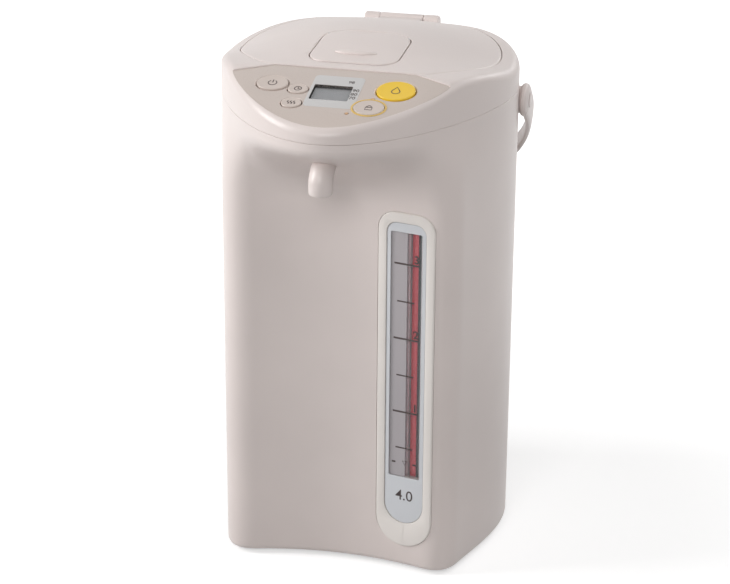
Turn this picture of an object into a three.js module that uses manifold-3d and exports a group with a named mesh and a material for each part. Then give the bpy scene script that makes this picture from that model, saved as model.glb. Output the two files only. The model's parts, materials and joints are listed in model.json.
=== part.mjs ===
// Electric thermo pot, in millimetres. +Z is up, the front looks along -Y, and it is symmetric about x = 0.
import * as THREE from 'three';
import { mergeVertices } from 'three/addons/utils/BufferGeometryUtils.js';
import Module from 'manifold-3d';

const wasm = await Module();
wasm.setup();

// Body outline, seen from above
const footRadius = 96.5;
const topRadius = 97.4;
const seamZ = 311;
const footFrontY = -79;
const footFrontHollow = 14;
const footCornerX = 74.5;
const footCornerRound = 20;
const footSideStraight = 25;
const footSideBend = 24;
const footSideAngle = THREE.MathUtils.degToRad(74);
const prowReach = 141.5;
const prowSideHold = 50;
const prowNoseHold = 50;
const prowSideShare = 0.41;
const prowFrontShare = 0.6;
const undersideLowZ = 253;
const undersideTurnZ = 284;
const undersideLipZ = 293;
const prowLipZ = 307;

// Casing
const casingBottomZ = 2.5;
const casingWall = 2.5;
const undersideWall = 3;
const bottomEdgeRound = 4;
const fitGap = 0.3;
const overrun = 1;
const seamGap = 0.3;

// Top cover surface
const rimLevelZ = 327;
const rimFrontRise = 9.2;
const crownHeight = 18.5;
const crownFrontHeight = 3.2;
const panelStartY = -75;
const rimRound = 5;
const coverWall = 4.2;
const collarWall = 2.2;
const collarBottomZ = 309.8;

// Control panel
const panelSlope = THREE.MathUtils.degToRad(15);
const panelHingeY = -70;
const panelZ = 338.2;
const panelSink = 1;
const panelBackHalf = 45.5;
const panelTipX = 70;
const panelTipY = 10.9;
const panelReach = 68.8;
const panelTipHold = 19;
const panelTipDraw = 8;
const panelNoseHold = 30;
const panelThick = 1.4;
const panelLedge = 2.6;
const labelThick = 0.5;
const labelWide = 32;
const labelLong = 37;
const labelRound = 3;
const labelX = -0.2;
const labelY = -26.7;
const displayWide = 24.5;
const displayLong = 17.6;
const displayRound = 0.8;
const displayX = -2;
const displayY = -28;
const lensThick = 1;
const displayMargin = 2;
const boardThick = 1.6;
const boardDrop = 8;
const boardShare = 0.8;
const boardPostRadius = 2;
const buttonGap = 0.4;
const buttonProud = 0.7;
const buttonTravel = 0.8;
const buttonSkirt = 1;
const buttonStemRadius = 2;
const buttonBevel = 0.5;
const switchWide = 6;
const switchGap = 0.4;
const switchHigh = 3;
const ringWide = 1.4;
const lampRadius = 1.1;
const lampProud = 0.2;

// Lid
const lidRadius = 85;
const lidFrontY = -67.5;
const lidCornerRound = 9;
const lidGap = 0.7;
const lidBottomZ = 315;
const lidWall = 2.4;
const lidEdgeRound = 1.2;
const leverWide = 58;
const leverLong = 57;
const leverMidY = -29.5;
const leverRound = 13;
const leverThick = 2.4;
const leverGap = 0.8;
const leverFloorZ = 334.4;
const leverPinRadius = 0.9;
const leverPinShort = 1.5;
const leverPinInset = 4.5;
const leverPinDrop = 2.4;
const leverBarrelHalf = 20;
const leverBarrelRadius = 2.2;
const clawThick = 2.6;
const clawWide = 8;
const clawGap = 0.15;
const clawSideGap = 0.4;
const clawSteps = 6;
const clawLength = 3;
const leverTurn = THREE.MathUtils.degToRad(30);
const fingerRidgeWide = 28;
const fingerRidgeY = -41.5;
const fingerRidgeRadius = 1.1;
const fingerRidgeBow = 3;
const sliderWide = 14;
const sliderThick = 3;
const sliderLong = 37;
const sliderTravel = 3.5;
const sliderSlotY = -37.5;
const sliderSlotLong = 8;
const springRadius = 1.2;
const springWire = 0.3;
const springTurns = 6;
const springLong = 10;
const springStopThick = 2;

// Lid hinge
const hingeY = 91.5;
const hingeZ = 328.3;
const hingeRadius = 6;
const hingeHalf = 26;
const knuckleHalf = 15;
const knuckleRadius = 5.2;
const hingePinRadius = 2;
const pinGap = 0.3;

// Vessel and its frame
const vesselY = 8;
const vesselRadius = 78.5;
const vesselWall = 0.8;
const mouthRadius = 72;
const shoulderLowZ = 292;
const shoulderHighZ = 300;
const vesselFloorZ = 62.9;
const vesselFootRound = 8;
const flangeZ = 308.3;
const flangeRadius = 84;
const flangeThick = 1.2;
const frameThick = 2.4;
const frameProwShare = 0.9;
const gasketRadius = 75;
const gasketWide = 7;
const gasketThick = 4;
const innerPlateThick = 0.6;
const innerPlateDish = 60;
const innerPlateTurn = 6;
const innerPlateZ = 306;

// Heater, sensor, pump and pipes
const heaterRadius = 62;
const heaterHole = 12;
const heaterThick = 5;
const sensorRadius = 8;
const sensorThick = 6;
const pumpX = 40;
const pumpY = -24;
const pumpRadius = 19;
const pumpWall = 2;
const pumpZ = 25;
const pumpHigh = 20;
const impellerRadius = 14;
const impellerThick = 3;
const vaneCount = 6;
const vaneThick = 1.6;
const vaneHigh = 6;
const shaftRadius = 2;
const motorRadius = 16;
const motorHigh = 16;
const pipeRadius = 3.5;
const pipeBore = 2.5;
const drainRadius = 8;
const pipeSides = 8;

// Spout
const spoutY = -130;
const spoutRadius = 7.2;
const spoutBore = 4.8;
const spoutTipZ = 275.5;
const spoutTopZ = 304;
const spoutPortZ = 300.9;
const spoutPortAngle = THREE.MathUtils.degToRad(62);
const spoutRoof = 2;
const midwayShare = 0.5;

// Water gauge
const gaugeX = 44.6;
const gaugeWide = 40;
const gaugeLowZ = 18;
const gaugeHighZ = 251.8;
const gaugeTopRound = 12;
const gaugeProud = 1.3;
const gaugeDeep = 5;
const gaugeLabelWide = 27.4;
const gaugeLabelLowZ = 35;
const gaugeLabelHighZ = 244.8;
const gaugeLabelTopRound = 7;
const gaugeLabelSink = 0.6;
const gaugeLabelThick = 0.8;
const windowWide = 22.4;
const windowLowZ = 68;
const windowHighZ = 238.8;
const windowRound = 1.5;
const windowLap = 1.4;
const windowThick = 1.2;
const tubeRadius = 3.6;
const tubeBore = 2.6;
const tubeOffset = 4.4;
const tubeLowZ = 60;
const tubeHighZ = 244.3;
const slotOffset = 4.6;
const slotHalf = 5.3;
const backingWide = 34;
const backingThick = 1.1;
const backingMargin = 2;
const troughWall = 1.1;
const stripOffset = 3.2;
const stripWide = 5.6;
const stripThick = 0.5;

// Power inlet and boards
const inletZ = 36;
const inletProud = 0.4;
const inletWide = 38;
const inletHigh = 24;
const inletDeep = 16;
const inletRim = 2.5;
const inletWell = 10;
const inletPinRadius = 2;
const inletPinSpread = 11;
const mainBoardWide = 80;
const mainBoardLong = 46;
const mainBoardX = -18;
const mainBoardY = 38;
const mainBoardZ = 16;
const partHigh = 14;
const legRadius = 3;

// Bottom cover, feet and screws
const plateThick = 2.5;
const plateGap = 0.5;
const footPadRadius = 9;
const footPadThick = 2.8;
const footSpreadX = 62;
const footFrontPadY = -62;
const footRearPadY = 58;
const screwRadius = 2;
const screwHeadRadius = 3.6;
const screwHeadThick = 2;
const screwLong = 12;
const postRadius = 5;
const postHigh = 18;
const screwX = 79;
const screwFrontY = -50;
const screwRearY = 40;

// Carrying handle
const pivotY = 22;
const pivotZ = 300;
const bossRadius = 9;
const bossProud = 1.5;
const earRadius = 11;
const earThick = 4.4;
const handleReach = 128;
const handleSag = THREE.MathUtils.degToRad(43);
const strapHigh = 15;
const strapThick = 4.2;
const pivotPinRadius = 2.5;
const pivotHeadRadius = 5;
const pivotHeadThick = 1.2;
const pivotPinIn = 8;

// Steps of the round stretches
const rearSteps = 8;
const sideSteps = 4;
const bendSteps = 4;
const frontSteps = 6;
const underSteps = 6;
const roundSteps = 3;
const circleSides = 36;
const smallSides = 12;
const strapSteps = 28;

// Materials
function finish(color, roughness, metalness = 0, opacity = 1) {
  return () => new THREE.MeshStandardMaterial({
    color, roughness, metalness, opacity, transparent: opacity < 1,
  });
}
const shellPlastic = finish(0xd8cdc7, 0.45);
const panelPlastic = finish(0xbfb1aa, 0.4);
const labelPlastic = finish(0xc9cdd2, 0.4);
const yellowPlastic = finish(0xe6bd3c, 0.4);
const clearPlastic = finish(0xe8eef0, 0.08, 0, 0.35);
const glass = finish(0xe8f0f0, 0.05, 0, 0.35);
const displayGrey = finish(0x8f9894, 0.3);
const backingGrey = finish(0x97908f, 0.6);
const redPaint = finish(0xb4474f, 0.4);
const lampPlastic = finish(0xb96a4a, 0.3);
const steel = finish(0xb8b8b6, 0.25, 1);
const darkPlastic = finish(0x3a3836, 0.6);
const whitePlastic = finish(0xdedcd6, 0.5);
const rubber = finish(0x4b4a48, 0.9);
const silicone = finish(0xd9d7d2, 0.7);
const boardGreen = finish(0x2f6b45, 0.6);

const pot = new THREE.Group();

function addNode(name, shape, material, parent = pot) {
  const geometry = shape.isBufferGeometry ? shape : asGeometry(shape);
  const mesh = new THREE.Mesh(geometry, material());
  mesh.name = name;
  parent.add(mesh);
  return mesh;
}

// Joining and cutting
function asSolid(geometry) {
  const bare = geometry.clone();
  bare.deleteAttribute('normal');
  bare.deleteAttribute('uv');
  const merged = mergeVertices(bare);
  return new wasm.Manifold(new wasm.Mesh({
    numProp: 3,
    vertProperties: new Float32Array(merged.attributes.position.array),
    triVerts: new Uint32Array(merged.index.array),
  }));
}

function asGeometry(solid) {
  const mesh = solid.getMesh();
  const geometry = new THREE.BufferGeometry();
  geometry.setAttribute('position', new THREE.BufferAttribute(mesh.vertProperties, mesh.numProp));
  geometry.setIndex(new THREE.BufferAttribute(mesh.triVerts, 1));
  geometry.computeVertexNormals();
  return geometry;
}

function join(...shapes) {
  return shapes.map(toSolid).reduce((whole, next) => whole.add(next));
}

function cut(shape, ...tools) {
  return tools.map(toSolid).reduce((whole, tool) => whole.subtract(tool), toSolid(shape));
}

function toSolid(shape) {
  return shape.isBufferGeometry ? asSolid(shape) : shape;
}

// Plain shapes, placed by their middle and bottom
function block(wide, long, high, x = 0, y = 0, z = 0) {
  return new THREE.BoxGeometry(wide, long, high).translate(x, y, z + high / 2);
}

function disc(radius, high, x = 0, y = 0, z = 0, sides = smallSides) {
  return new THREE.CylinderGeometry(radius, radius, high, sides)
    .rotateX(Math.PI / 2).translate(x, y, z + high / 2);
}

function rod(radius, fromX, toX, y, z, sides = smallSides) {
  return new THREE.CylinderGeometry(radius, radius, toX - fromX, sides)
    .rotateZ(Math.PI / 2).translate((fromX + toX) / 2, y, z);
}

function turned(profile, sides = circleSides) {
  const points = profile.map(([radius, z]) => new THREE.Vector2(radius, z));
  return new THREE.LatheGeometry(points, sides).rotateX(Math.PI / 2);
}

function slab(outline, high, z = 0) {
  const options = { depth: high, bevelEnabled: false, curveSegments: 1 };
  return new THREE.ExtrudeGeometry(new THREE.Shape(outline), options).translate(0, 0, z);
}

function roundedBox(wide, long, round, x = 0, y = 0, lowRound = round) {
  const points = [];
  const corners = [[1, -1, lowRound], [1, 1, round], [-1, 1, round], [-1, -1, lowRound]];
  corners.forEach(([sideX, sideY, radius], index) => {
    for (let step = 0; step <= roundSteps; step += 1) {
      const angle = (index - 1 + step / roundSteps) * Math.PI / 2;
      points.push(new THREE.Vector2(
        x + sideX * (wide / 2 - radius) + radius * Math.cos(angle),
        y + sideY * (long / 2 - radius) + radius * Math.sin(angle),
      ));
    }
  });
  return points;
}

function oval(halfWide, halfLong, sides = circleSides / 2) {
  const points = [];
  for (let step = 0; step < sides; step += 1) {
    const angle = step / sides * 2 * Math.PI;
    points.push(new THREE.Vector2(halfWide * Math.cos(angle), halfLong * Math.sin(angle)));
  }
  return points;
}

function loft(rings) {
  const count = rings[0].length;
  const positions = rings.flat().flatMap((point) => [point.x, point.y, point.z]);
  const faces = [];
  for (let ring = 0; ring < rings.length - 1; ring += 1) {
    for (let index = 0; index < count; index += 1) {
      const here = ring * count + index;
      const next = ring * count + (index + 1) % count;
      faces.push(here, next, next + count, here, next + count, here + count);
    }
  }
  [0, rings.length - 1].forEach((ring) => {
    const middle = new THREE.Vector3();
    rings[ring].forEach((point) => middle.addScaledVector(point, 1 / count));
    const hub = positions.length / 3;
    positions.push(middle.x, middle.y, middle.z);
    for (let index = 0; index < count; index += 1) {
      const here = ring * count + index;
      const next = ring * count + (index + 1) % count;
      faces.push(...(ring === 0 ? [hub, next, here] : [hub, here, next]));
    }
  });
  const geometry = new THREE.BufferGeometry();
  geometry.setAttribute('position', new THREE.BufferAttribute(new Float32Array(positions), 3));
  geometry.setIndex(faces);
  geometry.computeVertexNormals();
  return geometry;
}

function pipe(points, radius, sides = pipeSides, stepsPerSpan = 3) {
  const curve = new THREE.CatmullRomCurve3(points, false, 'centripetal');
  return new THREE.ExtrudeGeometry(new THREE.Shape(oval(radius, radius, sides)), {
    steps: (points.length - 1) * stepsPerSpan, extrudePath: curve, bevelEnabled: false, curveSegments: 1,
  });
}

function hollowPipe(points, radius, bore) {
  const beyond = (end, before) => end.clone().sub(before).setLength(overrun).add(end);
  const first = beyond(points[0], points[1]);
  const last = beyond(points.at(-1), points.at(-2));
  return cut(pipe(points, radius), pipe([first, ...points, last], bore));
}

// Body outline
function frontWallY(x) {
  return footFrontY - footFrontHollow * (x / footCornerX) ** 2;
}

function rearArc(radius) {
  const points = [];
  for (let step = 0; step < rearSteps; step += 1) {
    const angle = (1 - step / rearSteps) * Math.PI / 2;
    points.push(new THREE.Vector2(radius * Math.cos(angle), radius * Math.sin(angle)));
  }
  return points;
}

function curveSpan(curve, steps, from = 0, to = 1) {
  return Array.from({ length: steps }, (_, step) => curve.getPoint(from + (to - from) * step / steps));
}

function footHalf(radius) {
  const cornerX = footCornerX * radius / footRadius;
  const corner = new THREE.Vector2(cornerX, footFrontY - footFrontHollow);
  const along = new THREE.Vector2(Math.cos(footSideAngle), Math.sin(footSideAngle));
  const sideEnd = corner.clone().addScaledVector(along, footCornerRound);
  const side = new THREE.CubicBezierCurve(
    new THREE.Vector2(radius, 0), new THREE.Vector2(radius, -footSideStraight),
    sideEnd.clone().addScaledVector(along, footSideBend), sideEnd,
  );
  const frontX = cornerX - footCornerRound;
  const bend = new THREE.QuadraticBezierCurve(sideEnd, corner, new THREE.Vector2(frontX, frontWallY(frontX)));
  const front = Array.from({ length: frontSteps + 1 }, (_, step) => {
    const x = frontX * (1 - step / frontSteps);
    return new THREE.Vector2(x, frontWallY(x));
  });
  return [...rearArc(radius), ...curveSpan(side, sideSteps), ...curveSpan(bend, bendSteps), ...front];
}

function prowHalf() {
  const flank = new THREE.CubicBezierCurve(
    new THREE.Vector2(topRadius, 0), new THREE.Vector2(topRadius, -prowSideHold),
    new THREE.Vector2(prowNoseHold, -prowReach), new THREE.Vector2(0, -prowReach),
  );
  return [
    ...rearArc(topRadius), ...curveSpan(flank, sideSteps, 0, prowSideShare),
    ...curveSpan(flank, bendSteps, prowSideShare, prowFrontShare),
    ...curveSpan(flank, frontSteps, prowFrontShare, 1), flank.getPoint(1),
  ];
}

function mirrored(half) {
  const right = [...half].reverse();
  const left = half.slice(1, -1).map((point) => new THREE.Vector2(-point.x, point.y));
  return [...right, ...left];
}

function bodyOutline(z, prowShare) {
  const radius = THREE.MathUtils.lerp(footRadius, topRadius, z / seamZ);
  const prow = prowHalf();
  return mirrored(footHalf(radius).map((point, index) => point.clone().lerp(prow[index], prowShare)));
}

function inset(outline, depth) {
  const count = outline.length;
  return outline.map((point, index) => {
    const before = outline[(index + count - 1) % count];
    const after = outline[(index + 1) % count];
    const along = after.clone().sub(before).normalize();
    return new THREE.Vector2(point.x - along.y * depth, point.y + along.x * depth);
  });
}

function raise(outline, z) {
  return outline.map((point) => new THREE.Vector3(point.x, point.y, typeof z === 'function' ? z(point) : z));
}

// The underside of the prow: its height and how far it has grown out of the front wall
function undersideSteps() {
  const profile = new THREE.CubicBezierCurve(
    new THREE.Vector2(0, undersideLowZ), new THREE.Vector2(0, undersideTurnZ),
    new THREE.Vector2(1, undersideLipZ), new THREE.Vector2(1, prowLipZ),
  );
  return profile.getPoints(underSteps).map((point) => ({ z: point.y, share: point.x }));
}

function casingShell() {
  const edge = [];
  for (let step = 0; step <= roundSteps; step += 1) {
    const angle = step / roundSteps * Math.PI / 2;
    const depth = bottomEdgeRound * (1 - Math.sin(angle));
    edge.push({ z: casingBottomZ + bottomEdgeRound * (1 - Math.cos(angle)), depth });
  }
  const outer = [
    ...edge.map(({ z, depth }) => raise(inset(bodyOutline(z, 0), depth), z)),
    ...undersideSteps().map(({ z, share }) => raise(bodyOutline(z, share), z)),
    raise(bodyOutline(seamZ, 1), seamZ),
  ];
  const lowInner = casingBottomZ - overrun;
  const roundTop = casingBottomZ + bottomEdgeRound;
  const within = (z, share, depth = casingWall) => inset(bodyOutline(z, share), depth);
  const inner = [
    raise(within(lowInner, 0, casingWall + bottomEdgeRound / 2), lowInner),
    raise(within(roundTop, 0), roundTop),
    ...undersideSteps().map(({ z, share }) => raise(within(z, share), z + undersideWall)),
    raise(within(seamZ, 1), seamZ + overrun),
  ];
  return cut(loft(outer), loft(inner));
}

// The height of the top surface
function topHeight(x, y) {
  const rise = THREE.MathUtils.smoothstep(-y, 0, -panelStartY);
  const crown = THREE.MathUtils.lerp(crownHeight, crownFrontHeight, rise);
  const across = 1 - (x / topRadius) ** 2;
  const back = 1 - (Math.max(y, 0) / topRadius) ** 2;
  const dome = rimLevelZ + rimFrontRise * rise + crown * across * back;
  const slope = panelZ + panelSink + (y - panelHingeY) * Math.tan(panelSlope);
  return Math.min(dome, slope);
}

function topSurfaceRings(edge, innerShares, drop = 0) {
  return innerShares.map((share) => raise(
    edge.map((point) => point.clone().multiplyScalar(share)),
    (point) => topHeight(point.x, point.y) - drop,
  ));
}

const capShares = [0.82, 0.6, 0.36, 0.12];

function coverBlank(depth, lowZ, drop, round) {
  const outline = bodyOutline(seamZ, 1);
  const rings = [raise(inset(outline, depth), lowZ)];
  for (let step = 0; step <= roundSteps; step += 1) {
    const angle = step / roundSteps * Math.PI / 2;
    const edge = inset(outline, depth + round * (1 - Math.cos(angle)));
    rings.push(raise(edge, (point) => topHeight(point.x, point.y) - drop - round * (1 - Math.sin(angle))));
  }
  return loft([...rings, ...topSurfaceRings(inset(outline, depth + round), capShares, drop)]);
}

// The lid outline: a circle cut straight at the panel, with rounded corners
function lidOutline(grow = 0) {
  const radius = lidRadius + grow;
  const frontY = lidFrontY - grow;
  const cornerY = frontY + lidCornerRound;
  const cornerX = Math.sqrt((radius - lidCornerRound) ** 2 - cornerY ** 2);
  const startAngle = Math.atan2(cornerY, cornerX);
  const right = [];
  for (let step = 0; step <= roundSteps; step += 1) {
    const angle = THREE.MathUtils.lerp(-Math.PI / 2, startAngle, step / roundSteps);
    right.push(new THREE.Vector2(
      cornerX + lidCornerRound * Math.cos(angle), cornerY + lidCornerRound * Math.sin(angle),
    ));
  }
  const arcSteps = circleSides / 3;
  for (let step = 1; step <= arcSteps; step += 1) {
    const angle = THREE.MathUtils.lerp(startAngle, Math.PI / 2, step / arcSteps);
    right.push(new THREE.Vector2(radius * Math.cos(angle), radius * Math.sin(angle)));
  }
  const left = right.slice(0, -1).reverse().map((point) => new THREE.Vector2(-point.x, point.y));
  return [...right, ...left];
}

// The control panel lies in its own frame: x across, y up the slope from its back edge, z out of it
const panel = new THREE.Group();
panel.position.set(0, panelHingeY, panelZ);
panel.rotation.x = panelSlope;
pot.add(panel);
panel.updateMatrix();

function panelOutline(grow = 0) {
  const back = new THREE.Vector2(panelBackHalf, 0);
  const nose = new THREE.CubicBezierCurve(
    new THREE.Vector2(0, -panelReach), new THREE.Vector2(panelNoseHold, -panelReach),
    new THREE.Vector2(panelTipX - panelTipDraw, -panelTipY - panelTipHold),
    new THREE.Vector2(panelTipX, -panelTipY),
  );
  const right = [...nose.getPoints(2 * frontSteps), back];
  const left = right.slice(1).reverse().map((point) => new THREE.Vector2(-point.x, point.y));
  return inset([...right, ...left], -grow);
}

function onPanel(shape) {
  return toSolid(shape).transform(panel.matrix.elements);
}

// Buttons and lamps: middle, then half width and half length, as shares of the panel's tip width and reach
const buttonShares = {
  energy: [-0.589, -0.315, 0.143, 0.119],
  timer: [-0.337, -0.382, 0.091, 0.078],
  boil: [-0.337, -0.624, 0.09, 0.081],
  dispense: [0.537, -0.298, 0.174, 0.16],
  unlock: [0.363, -0.613, 0.137, 0.122],
};
const lampShares = { lock: [0.363, -0.461], boil: [0.19, -0.731] };

function panelPlace([shareX, shareY]) {
  return [shareX * panelTipX, shareY * panelReach];
}

const buttonSizes = {};
Object.entries(buttonShares).forEach(([name, shares]) => {
  const [x, y] = panelPlace(shares);
  const [wide, long] = panelPlace(shares.slice(2));
  buttonSizes[name] = { x, y, wide, long };
});

// Top cover with the lid opening, the panel pocket and the hinge cheeks
function topCover() {
  const lowZ = seamZ + seamGap;
  const blank = asSolid(coverBlank(0, lowZ, 0, rimRound));
  const hollow = coverBlank(casingWall, lowZ - overrun, coverWall, rimRound - casingWall);
  const openingHigh = rimLevelZ + crownHeight + overrun - collarBottomZ;
  const collar = slab(lidOutline(lidGap + collarWall), openingHigh, collarBottomZ);
  const opening = slab(lidOutline(lidGap), openingHigh + 2 * overrun, collarBottomZ - overrun);
  const pocket = onPanel(slab(panelOutline(fitGap), coverWall + rimRound, -panelThick - fitGap));
  const hole = onPanel(slab(panelOutline(-panelLedge), 4 * rimRound + coverWall, -4 * rimRound));
  const shell = cut(blank, hollow);
  const inside = asSolid(coverBlank(0, collarBottomZ, 0, rimRound));
  const collarInside = asSolid(collar).intersect(inside);
  const cheekBack = block(2 * hingeHalf, topRadius - hingeY + hingeRadius / 2, rimLevelZ - lowZ, 0,
    (topRadius + hingeY - hingeRadius / 2) / 2, lowZ);
  const cheeks = join(rod(hingeRadius, -hingeHalf, hingeHalf, hingeY, hingeZ), cheekBack);
  const knuckleRoom = join(
    rod(knuckleRadius + pinGap, -knuckleHalf - pinGap, knuckleHalf + pinGap, hingeY, hingeZ),
    block(2 * (knuckleHalf + pinGap), hingeY - lidRadius + lidWall, openingHigh, 0,
      (hingeY + lidRadius - lidWall) / 2, hingeZ - knuckleRadius - pinGap),
    block(2 * (knuckleHalf + pinGap), topRadius - hingeY + overrun, openingHigh, 0,
      (hingeY + topRadius + overrun) / 2, hingeZ),
  );
  const pinReach = hingeHalf + overrun;
  return cut(
    join(cut(join(shell, collarInside), opening, pocket, hole), cheeks), opening, knuckleRoom,
    rod(hingePinRadius + pinGap, -pinReach, pinReach, hingeY, hingeZ),
  );
}

// Casing with holes for the spout, the gauge, the power inlet and the handle pins
const gauge = new THREE.Group();
gauge.position.set(gaugeX, frontWallY(gaugeX), 0);
gauge.rotation.set(Math.PI / 2, 0, Math.atan2(-2 * footFrontHollow * gaugeX, footCornerX ** 2), 'ZYX');
pot.add(gauge);
gauge.updateMatrix();

function inGauge(shape) {
  return toSolid(shape).transform(gauge.matrix.elements);
}

function gaugePlate(wide, lowZ, highZ, topRound, grow = 0) {
  const high = highZ - lowZ + 2 * grow;
  return roundedBox(wide + 2 * grow, high, topRound + grow, 0, (lowZ + highZ) / 2, wide / 2 + grow);
}

function bodyCasing() {
  const reachIn = gaugeDeep + casingWall;
  const gaugeHole = inGauge(slab(
    gaugePlate(gaugeWide, gaugeLowZ, gaugeHighZ, gaugeTopRound, fitGap), 2 * reachIn, -reachIn,
  ));
  const spoutHole = disc(spoutRadius + fitGap, spoutTopZ - spoutTipZ, 0, spoutY, spoutTipZ);
  const inletHole = block(
    inletWide + 2 * fitGap, 2 * inletDeep, inletHigh + 2 * fitGap, 0,
    footRadius, inletZ - inletHigh / 2 - fitGap,
  );
  const postZ = casingBottomZ + plateThick + plateGap;
  const posts = screwPlaces().map(([x, y]) => disc(postRadius, postHigh, x, y, postZ));
  const webs = screwPlaces().map(([x, y]) => block(
    2 * (footRadius - screwX) - postRadius, 2 * casingWall, postHigh,
    Math.sign(x) * (screwX + (footRadius - screwX) / 2 - casingWall / 2), y, postZ,
  ));
  const bosses = [-1, 1].map((side) => rod(
    bossRadius, Math.min(side * (topRadius - casingWall), side * (topRadius + bossProud)),
    Math.max(side * (topRadius - casingWall), side * (topRadius + bossProud)), pivotY, pivotZ,
  ));
  const reach = topRadius + bossProud + overrun;
  const outside = asSolid(loft([0, 2 * seamZ].map((z) => raise(inset(bodyOutline(0, 0), overrun), z))));
  const inner = join(...posts, ...webs).intersect(outside);
  const whole = casingShell().add(inner).add(join(...bosses));
  return cut(
    whole, gaugeHole, spoutHole, inletHole, rod(pivotPinRadius + pinGap, -reach, reach, pivotY, pivotZ),
    ...screwPlaces().map(([x, y]) => disc(screwRadius + pinGap, screwLong + fitGap, x, y, 0)),
  );
}

function screwPlaces() {
  return [[-screwX, screwFrontY], [screwX, screwFrontY], [-screwX, screwRearY], [screwX, screwRearY]];
}

function footPlaces() {
  return [
    [-footSpreadX, footFrontPadY], [footSpreadX, footFrontPadY],
    [-footSpreadX, footRearPadY], [footSpreadX, footRearPadY],
  ];
}

function bottomCover() {
  const outline = inset(bodyOutline(0, 0), casingWall + bottomEdgeRound / 2 + fitGap);
  const lowZ = casingBottomZ + fitGap;
  const boardLegs = [-1, 1].flatMap((sideX) => [-1, 1].map((sideY) => disc(
    legRadius, mainBoardZ - fitGap - lowZ, mainBoardX + sideX * (mainBoardWide / 2 - 2 * legRadius),
    mainBoardY + sideY * (mainBoardLong / 2 - 2 * legRadius), lowZ,
  )));
  return cut(
    join(loft([raise(outline, lowZ), raise(outline, lowZ + plateThick)]), ...boardLegs),
    ...screwPlaces().map(([x, y]) => disc(screwRadius + pinGap, seamZ, x, y, 0)),
    ...screwPlaces().map(([x, y]) => disc(
      screwHeadRadius + fitGap, screwHeadThick, x, y, casingBottomZ - fitGap,
    )),
  );
}

function screw(x, y) {
  const headZ = casingBottomZ + fitGap;
  const slot = block(2 * screwHeadRadius, screwHeadThick / 4, screwHeadThick / 4, x, y, headZ);
  return cut(join(
    disc(screwHeadRadius, screwHeadThick / 2, x, y, headZ),
    disc(screwRadius, screwLong - headZ, x, y, headZ),
  ), slot);
}


// Lid shell with the lever pocket, the slider guide and the knuckle
function lidBlank(depth, lowZ, drop, round) {
  const outline = inset(lidOutline(), depth);
  const rings = [raise(outline, lowZ)];
  for (let step = 0; step <= roundSteps; step += 1) {
    const angle = step / roundSteps * Math.PI / 2;
    const edge = inset(outline, round * (1 - Math.cos(angle)));
    rings.push(raise(edge, (point) => topHeight(point.x, point.y) - drop - round * (1 - Math.sin(angle))));
  }
  return loft([...rings, ...topSurfaceRings(inset(outline, round), capShares, drop)]);
}

function leverOutline(grow = 0) {
  return roundedBox(leverWide + 2 * grow, leverLong + 2 * grow, leverRound + grow, 0, leverMidY);
}

const leverPinY = leverMidY + leverLong / 2 - leverPinInset;
const leverPinZ = topHeight(0, leverPinY) - leverPinDrop;
const sliderZ = leverFloorZ - lidWall - fitGap - sliderThick;
const sliderFrontY = lidFrontY + fitGap;
const sliderRearY = sliderFrontY + sliderLong;
const springStopY = sliderRearY + springLong + fitGap;
const springMidZ = sliderZ + sliderThick / 2;

function lidShell() {
  const roomHigh = rimLevelZ + crownHeight + overrun - leverFloorZ;
  const room = slab(leverOutline(leverGap + lidWall), roomHigh + lidWall, leverFloorZ - lidWall);
  const guides = [-1, 1].map((side) => block(
    lidWall, sliderLong, leverFloorZ - sliderZ, side * (sliderWide / 2 + fitGap + lidWall / 2),
    sliderFrontY + lidWall + sliderLong / 2, sliderZ,
  ));
  const stopLowZ = springMidZ - springRadius - springWire;
  const stop = block(
    sliderWide, springStopThick, leverFloorZ - stopLowZ, 0, springStopY + springStopThick / 2, stopLowZ,
  );
  const cavity = cut(
    lidBlank(lidWall, lidBottomZ - overrun, lidWall, lidEdgeRound / 2), room, ...guides, stop,
  );
  const pocket = slab(leverOutline(leverGap), roomHigh, leverFloorZ);
  const floorThick = 2 * lidWall;
  const clawRoom = block(
    clawWide + 2 * clawSideGap, sliderSlotLong, floorThick + lidWall, 0,
    sliderSlotY + (sliderTravel - sliderSlotLong) / 2, leverFloorZ - floorThick,
  );
  const tipRoom = block(
    sliderWide + 2 * fitGap, floorThick + lidWall, sliderThick + 2 * fitGap, 0, lidFrontY, sliderZ - fitGap,
  );
  const armLong = hingeY - lidRadius + lidWall;
  const arm = block(
    2 * knuckleHalf, armLong, 2 * knuckleRadius, 0, hingeY - armLong / 2, hingeZ - knuckleRadius,
  );
  const knuckle = join(arm, rod(knuckleRadius, -knuckleHalf, knuckleHalf, hingeY, hingeZ));
  return cut(
    cut(lidBlank(0, lidBottomZ, 0, lidEdgeRound), cavity, pocket, clawRoom, tipRoom,
      rod(leverPinRadius, -leverWide / 2, leverWide / 2, leverPinY, leverPinZ)).add(knuckle),
    rod(hingePinRadius + pinGap, -hingeHalf, hingeHalf, hingeY, hingeZ),
  );
}

// The claw's working face from the side: where the slot's rear edge stands to the lever as both move
function clawFace(depth) {
  const face = Array.from({ length: clawSteps + 1 }, (_, step) => {
    const share = step / clawSteps;
    return new THREE.Vector2(sliderSlotY + sliderTravel * share - leverPinY, sliderZ - leverPinZ)
      .rotateAround(new THREE.Vector2(), leverTurn * share);
  });
  const slope = face.at(-1).clone().sub(face.at(-2)).normalize();
  face.push(face.at(-1).clone().addScaledVector(slope, clawLength));
  return face.map((point, index) => {
    const after = face[Math.min(index + 1, face.length - 1)];
    const along = after.clone().sub(face[Math.max(index - 1, 0)]).normalize();
    return point.clone().add(new THREE.Vector2(along.y, -along.x).multiplyScalar(depth));
  });
}

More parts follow.
